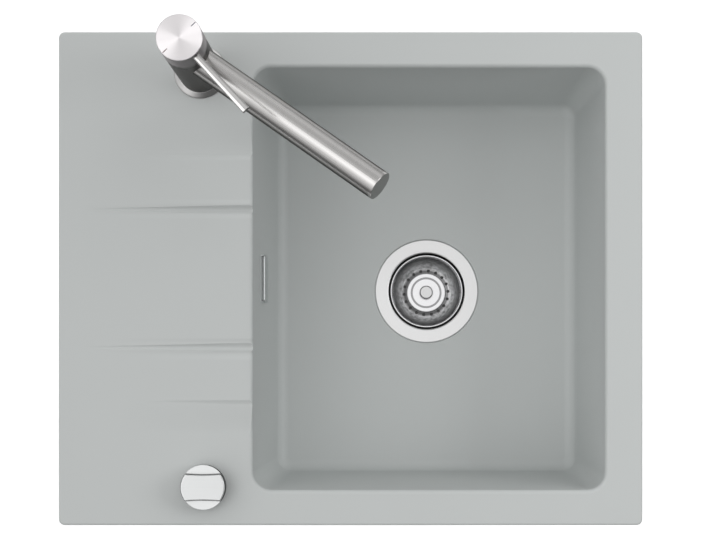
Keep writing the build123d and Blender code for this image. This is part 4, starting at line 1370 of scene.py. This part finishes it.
@dataclass(frozen=True)
class SoftPatch:
    """Bright part of the room, with soft edges."""

    azimuth: float
    elevation: float
    sharpness: float
    strength: float

    def glow(self, room: RoomTree) -> Field:
        """The patch's light in each direction.

        Args:
            room: the room that it is in.

        Returns:
            Its strength.
        """
        turn = math.radians(self.azimuth)
        rise = math.radians(self.elevation)
        level = math.cos(rise)
        middle = (level * math.cos(turn), level * math.sin(turn), math.sin(rise))
        return self.strength * room.facing(middle) ** self.sharpness


@dataclass(frozen=True)
class SoftBox:
    """Large lamp near the object, turned to its middle."""

    name: str
    place: Point
    size: float
    power: float

    def hang(self) -> None:
        """Puts the lamp in the scene."""
        lamp = bpy.data.lights.new(self.name, "AREA")
        lamp.size = self.size
        lamp.energy = self.power
        light = bpy.data.objects.new(self.name, lamp)
        light.location = self.place
        light.rotation_euler = (-Vector(self.place)).to_track_quat("-Z", "Y").to_euler()
        bpy.context.scene.collection.objects.link(light)


@dataclass
class Studio:
    """Pale floor, soft light, and a camera straight above with its frame off its axis."""

    image_width: float = 716.0
    image_height: float = 540.0
    axis_pixel: Pair = (396.0, 389.0)
    camera_place: Point = (0.0451, -0.1097, 1.958)
    pixels_per_metre: float = 1007.0
    rim_top: float = 0.008
    sensor_mm: float = 36.0
    floor_radius: float = 1.6
    floor_gap: float = 1 * MM
    floor_segments: int = 96
    floor_tones: tuple[Colour, Colour] = ((0.86, 0.86, 0.86), (0.90, 0.90, 0.90))
    floor_cloud: float = 0.4
    floor_roughness: float = 0.9
    floor_glow: float = 0.5
    wall: Colour = (0.92, 0.92, 0.92)
    patches: tuple[SoftPatch, ...] = (
        SoftPatch(0.0, 90.0, 30.0, 0.52),
        SoftPatch(0.0, 90.0, 4.0, 0.68),
        SoftPatch(180.0, 63.0, 24.0, 1.90),
        SoftPatch(45.0, 32.0, 12.0, 1.06),
        SoftPatch(90.0, 32.0, 12.0, 0.15),
        SoftPatch(135.0, 32.0, 12.0, 0.94),
        SoftPatch(180.0, 32.0, 12.0, 0.68),
        SoftPatch(225.0, 32.0, 12.0, 0.85),
        SoftPatch(90.0, 5.0, 8.0, 0.78),
    )
    boxes: tuple[SoftBox, ...] = (SoftBox("right_box", (1.4, 0.1, 1.1), 0.9, 7.0),)

    def lay_floor(self) -> None:
        """Lays the floor just under the object."""
        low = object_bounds()[0].z - self.floor_gap
        shape = bmesh.new()
        sides = self.floor_segments
        bmesh.ops.create_circle(shape, cap_ends=True, segments=sides, radius=self.floor_radius)
        mesh = bpy.data.meshes.new("floor")
        shape.to_mesh(mesh)
        shape.free()
        tree = ShaderTree("pale_floor")
        mesh.materials.append(tree.close({
            "Base Color": tree.between(tree.noise(self.floor_cloud), *self.floor_tones),
            "Roughness": self.floor_roughness,
            "Emission Color": WHITE,
            "Emission Strength": self.floor_glow,
        }))
        floor = bpy.data.objects.new("floor", mesh)
        floor.location.z = low
        bpy.context.scene.collection.objects.link(floor)
        floor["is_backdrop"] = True

    def light(self) -> None:
        """Lights the room with its soft patches and hangs the soft boxes."""
        room = RoomTree("room")
        level = sum((patch.glow(room) for patch in self.patches), 0.0)
        bpy.context.scene.world = room.close(level, self.wall)
        for box in self.boxes:
            box.hang()

    def aim(self) -> None:
        """Places the camera."""
        lens = bpy.data.cameras.new("camera")
        focal = self.pixels_per_metre * (self.camera_place[2] - self.rim_top)
        lens.sensor_width = self.sensor_mm
        lens.lens = self.sensor_mm * focal / self.image_width
        lens.shift_x = (self.image_width / 2 - self.axis_pixel[0]) / self.image_width
        lens.shift_y = (self.axis_pixel[1] - self.image_height / 2) / self.image_width
        camera = bpy.data.objects.new("camera", lens)
        camera.location = self.camera_place
        bpy.context.scene.collection.objects.link(camera)
        bpy.context.scene.camera = camera
        bpy.context.scene.view_settings.view_transform = "Standard"

    def build(self) -> None:
        """Sets up the whole studio."""
        self.lay_floor()
        self.light()
        self.aim()


def main() -> None:
    """Dresses the sink, adds its fine pieces and sets up the studio."""
    logging.basicConfig(level=logging.INFO, format="%(message)s")
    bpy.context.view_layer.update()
    groups: tuple[SubAssembly, ...] = (
        SinkBody(),
        WorktopClips(),
        Overflow(),
        Waste(),
        StrainerBasket(),
        RotaryControl(),
        TapColumn(),
        TapSpout(),
        TapLever(),
    )
    for group in groups:
        group.dress()
        group.build()
    Studio().build()


if __name__ == "__main__":
    main()
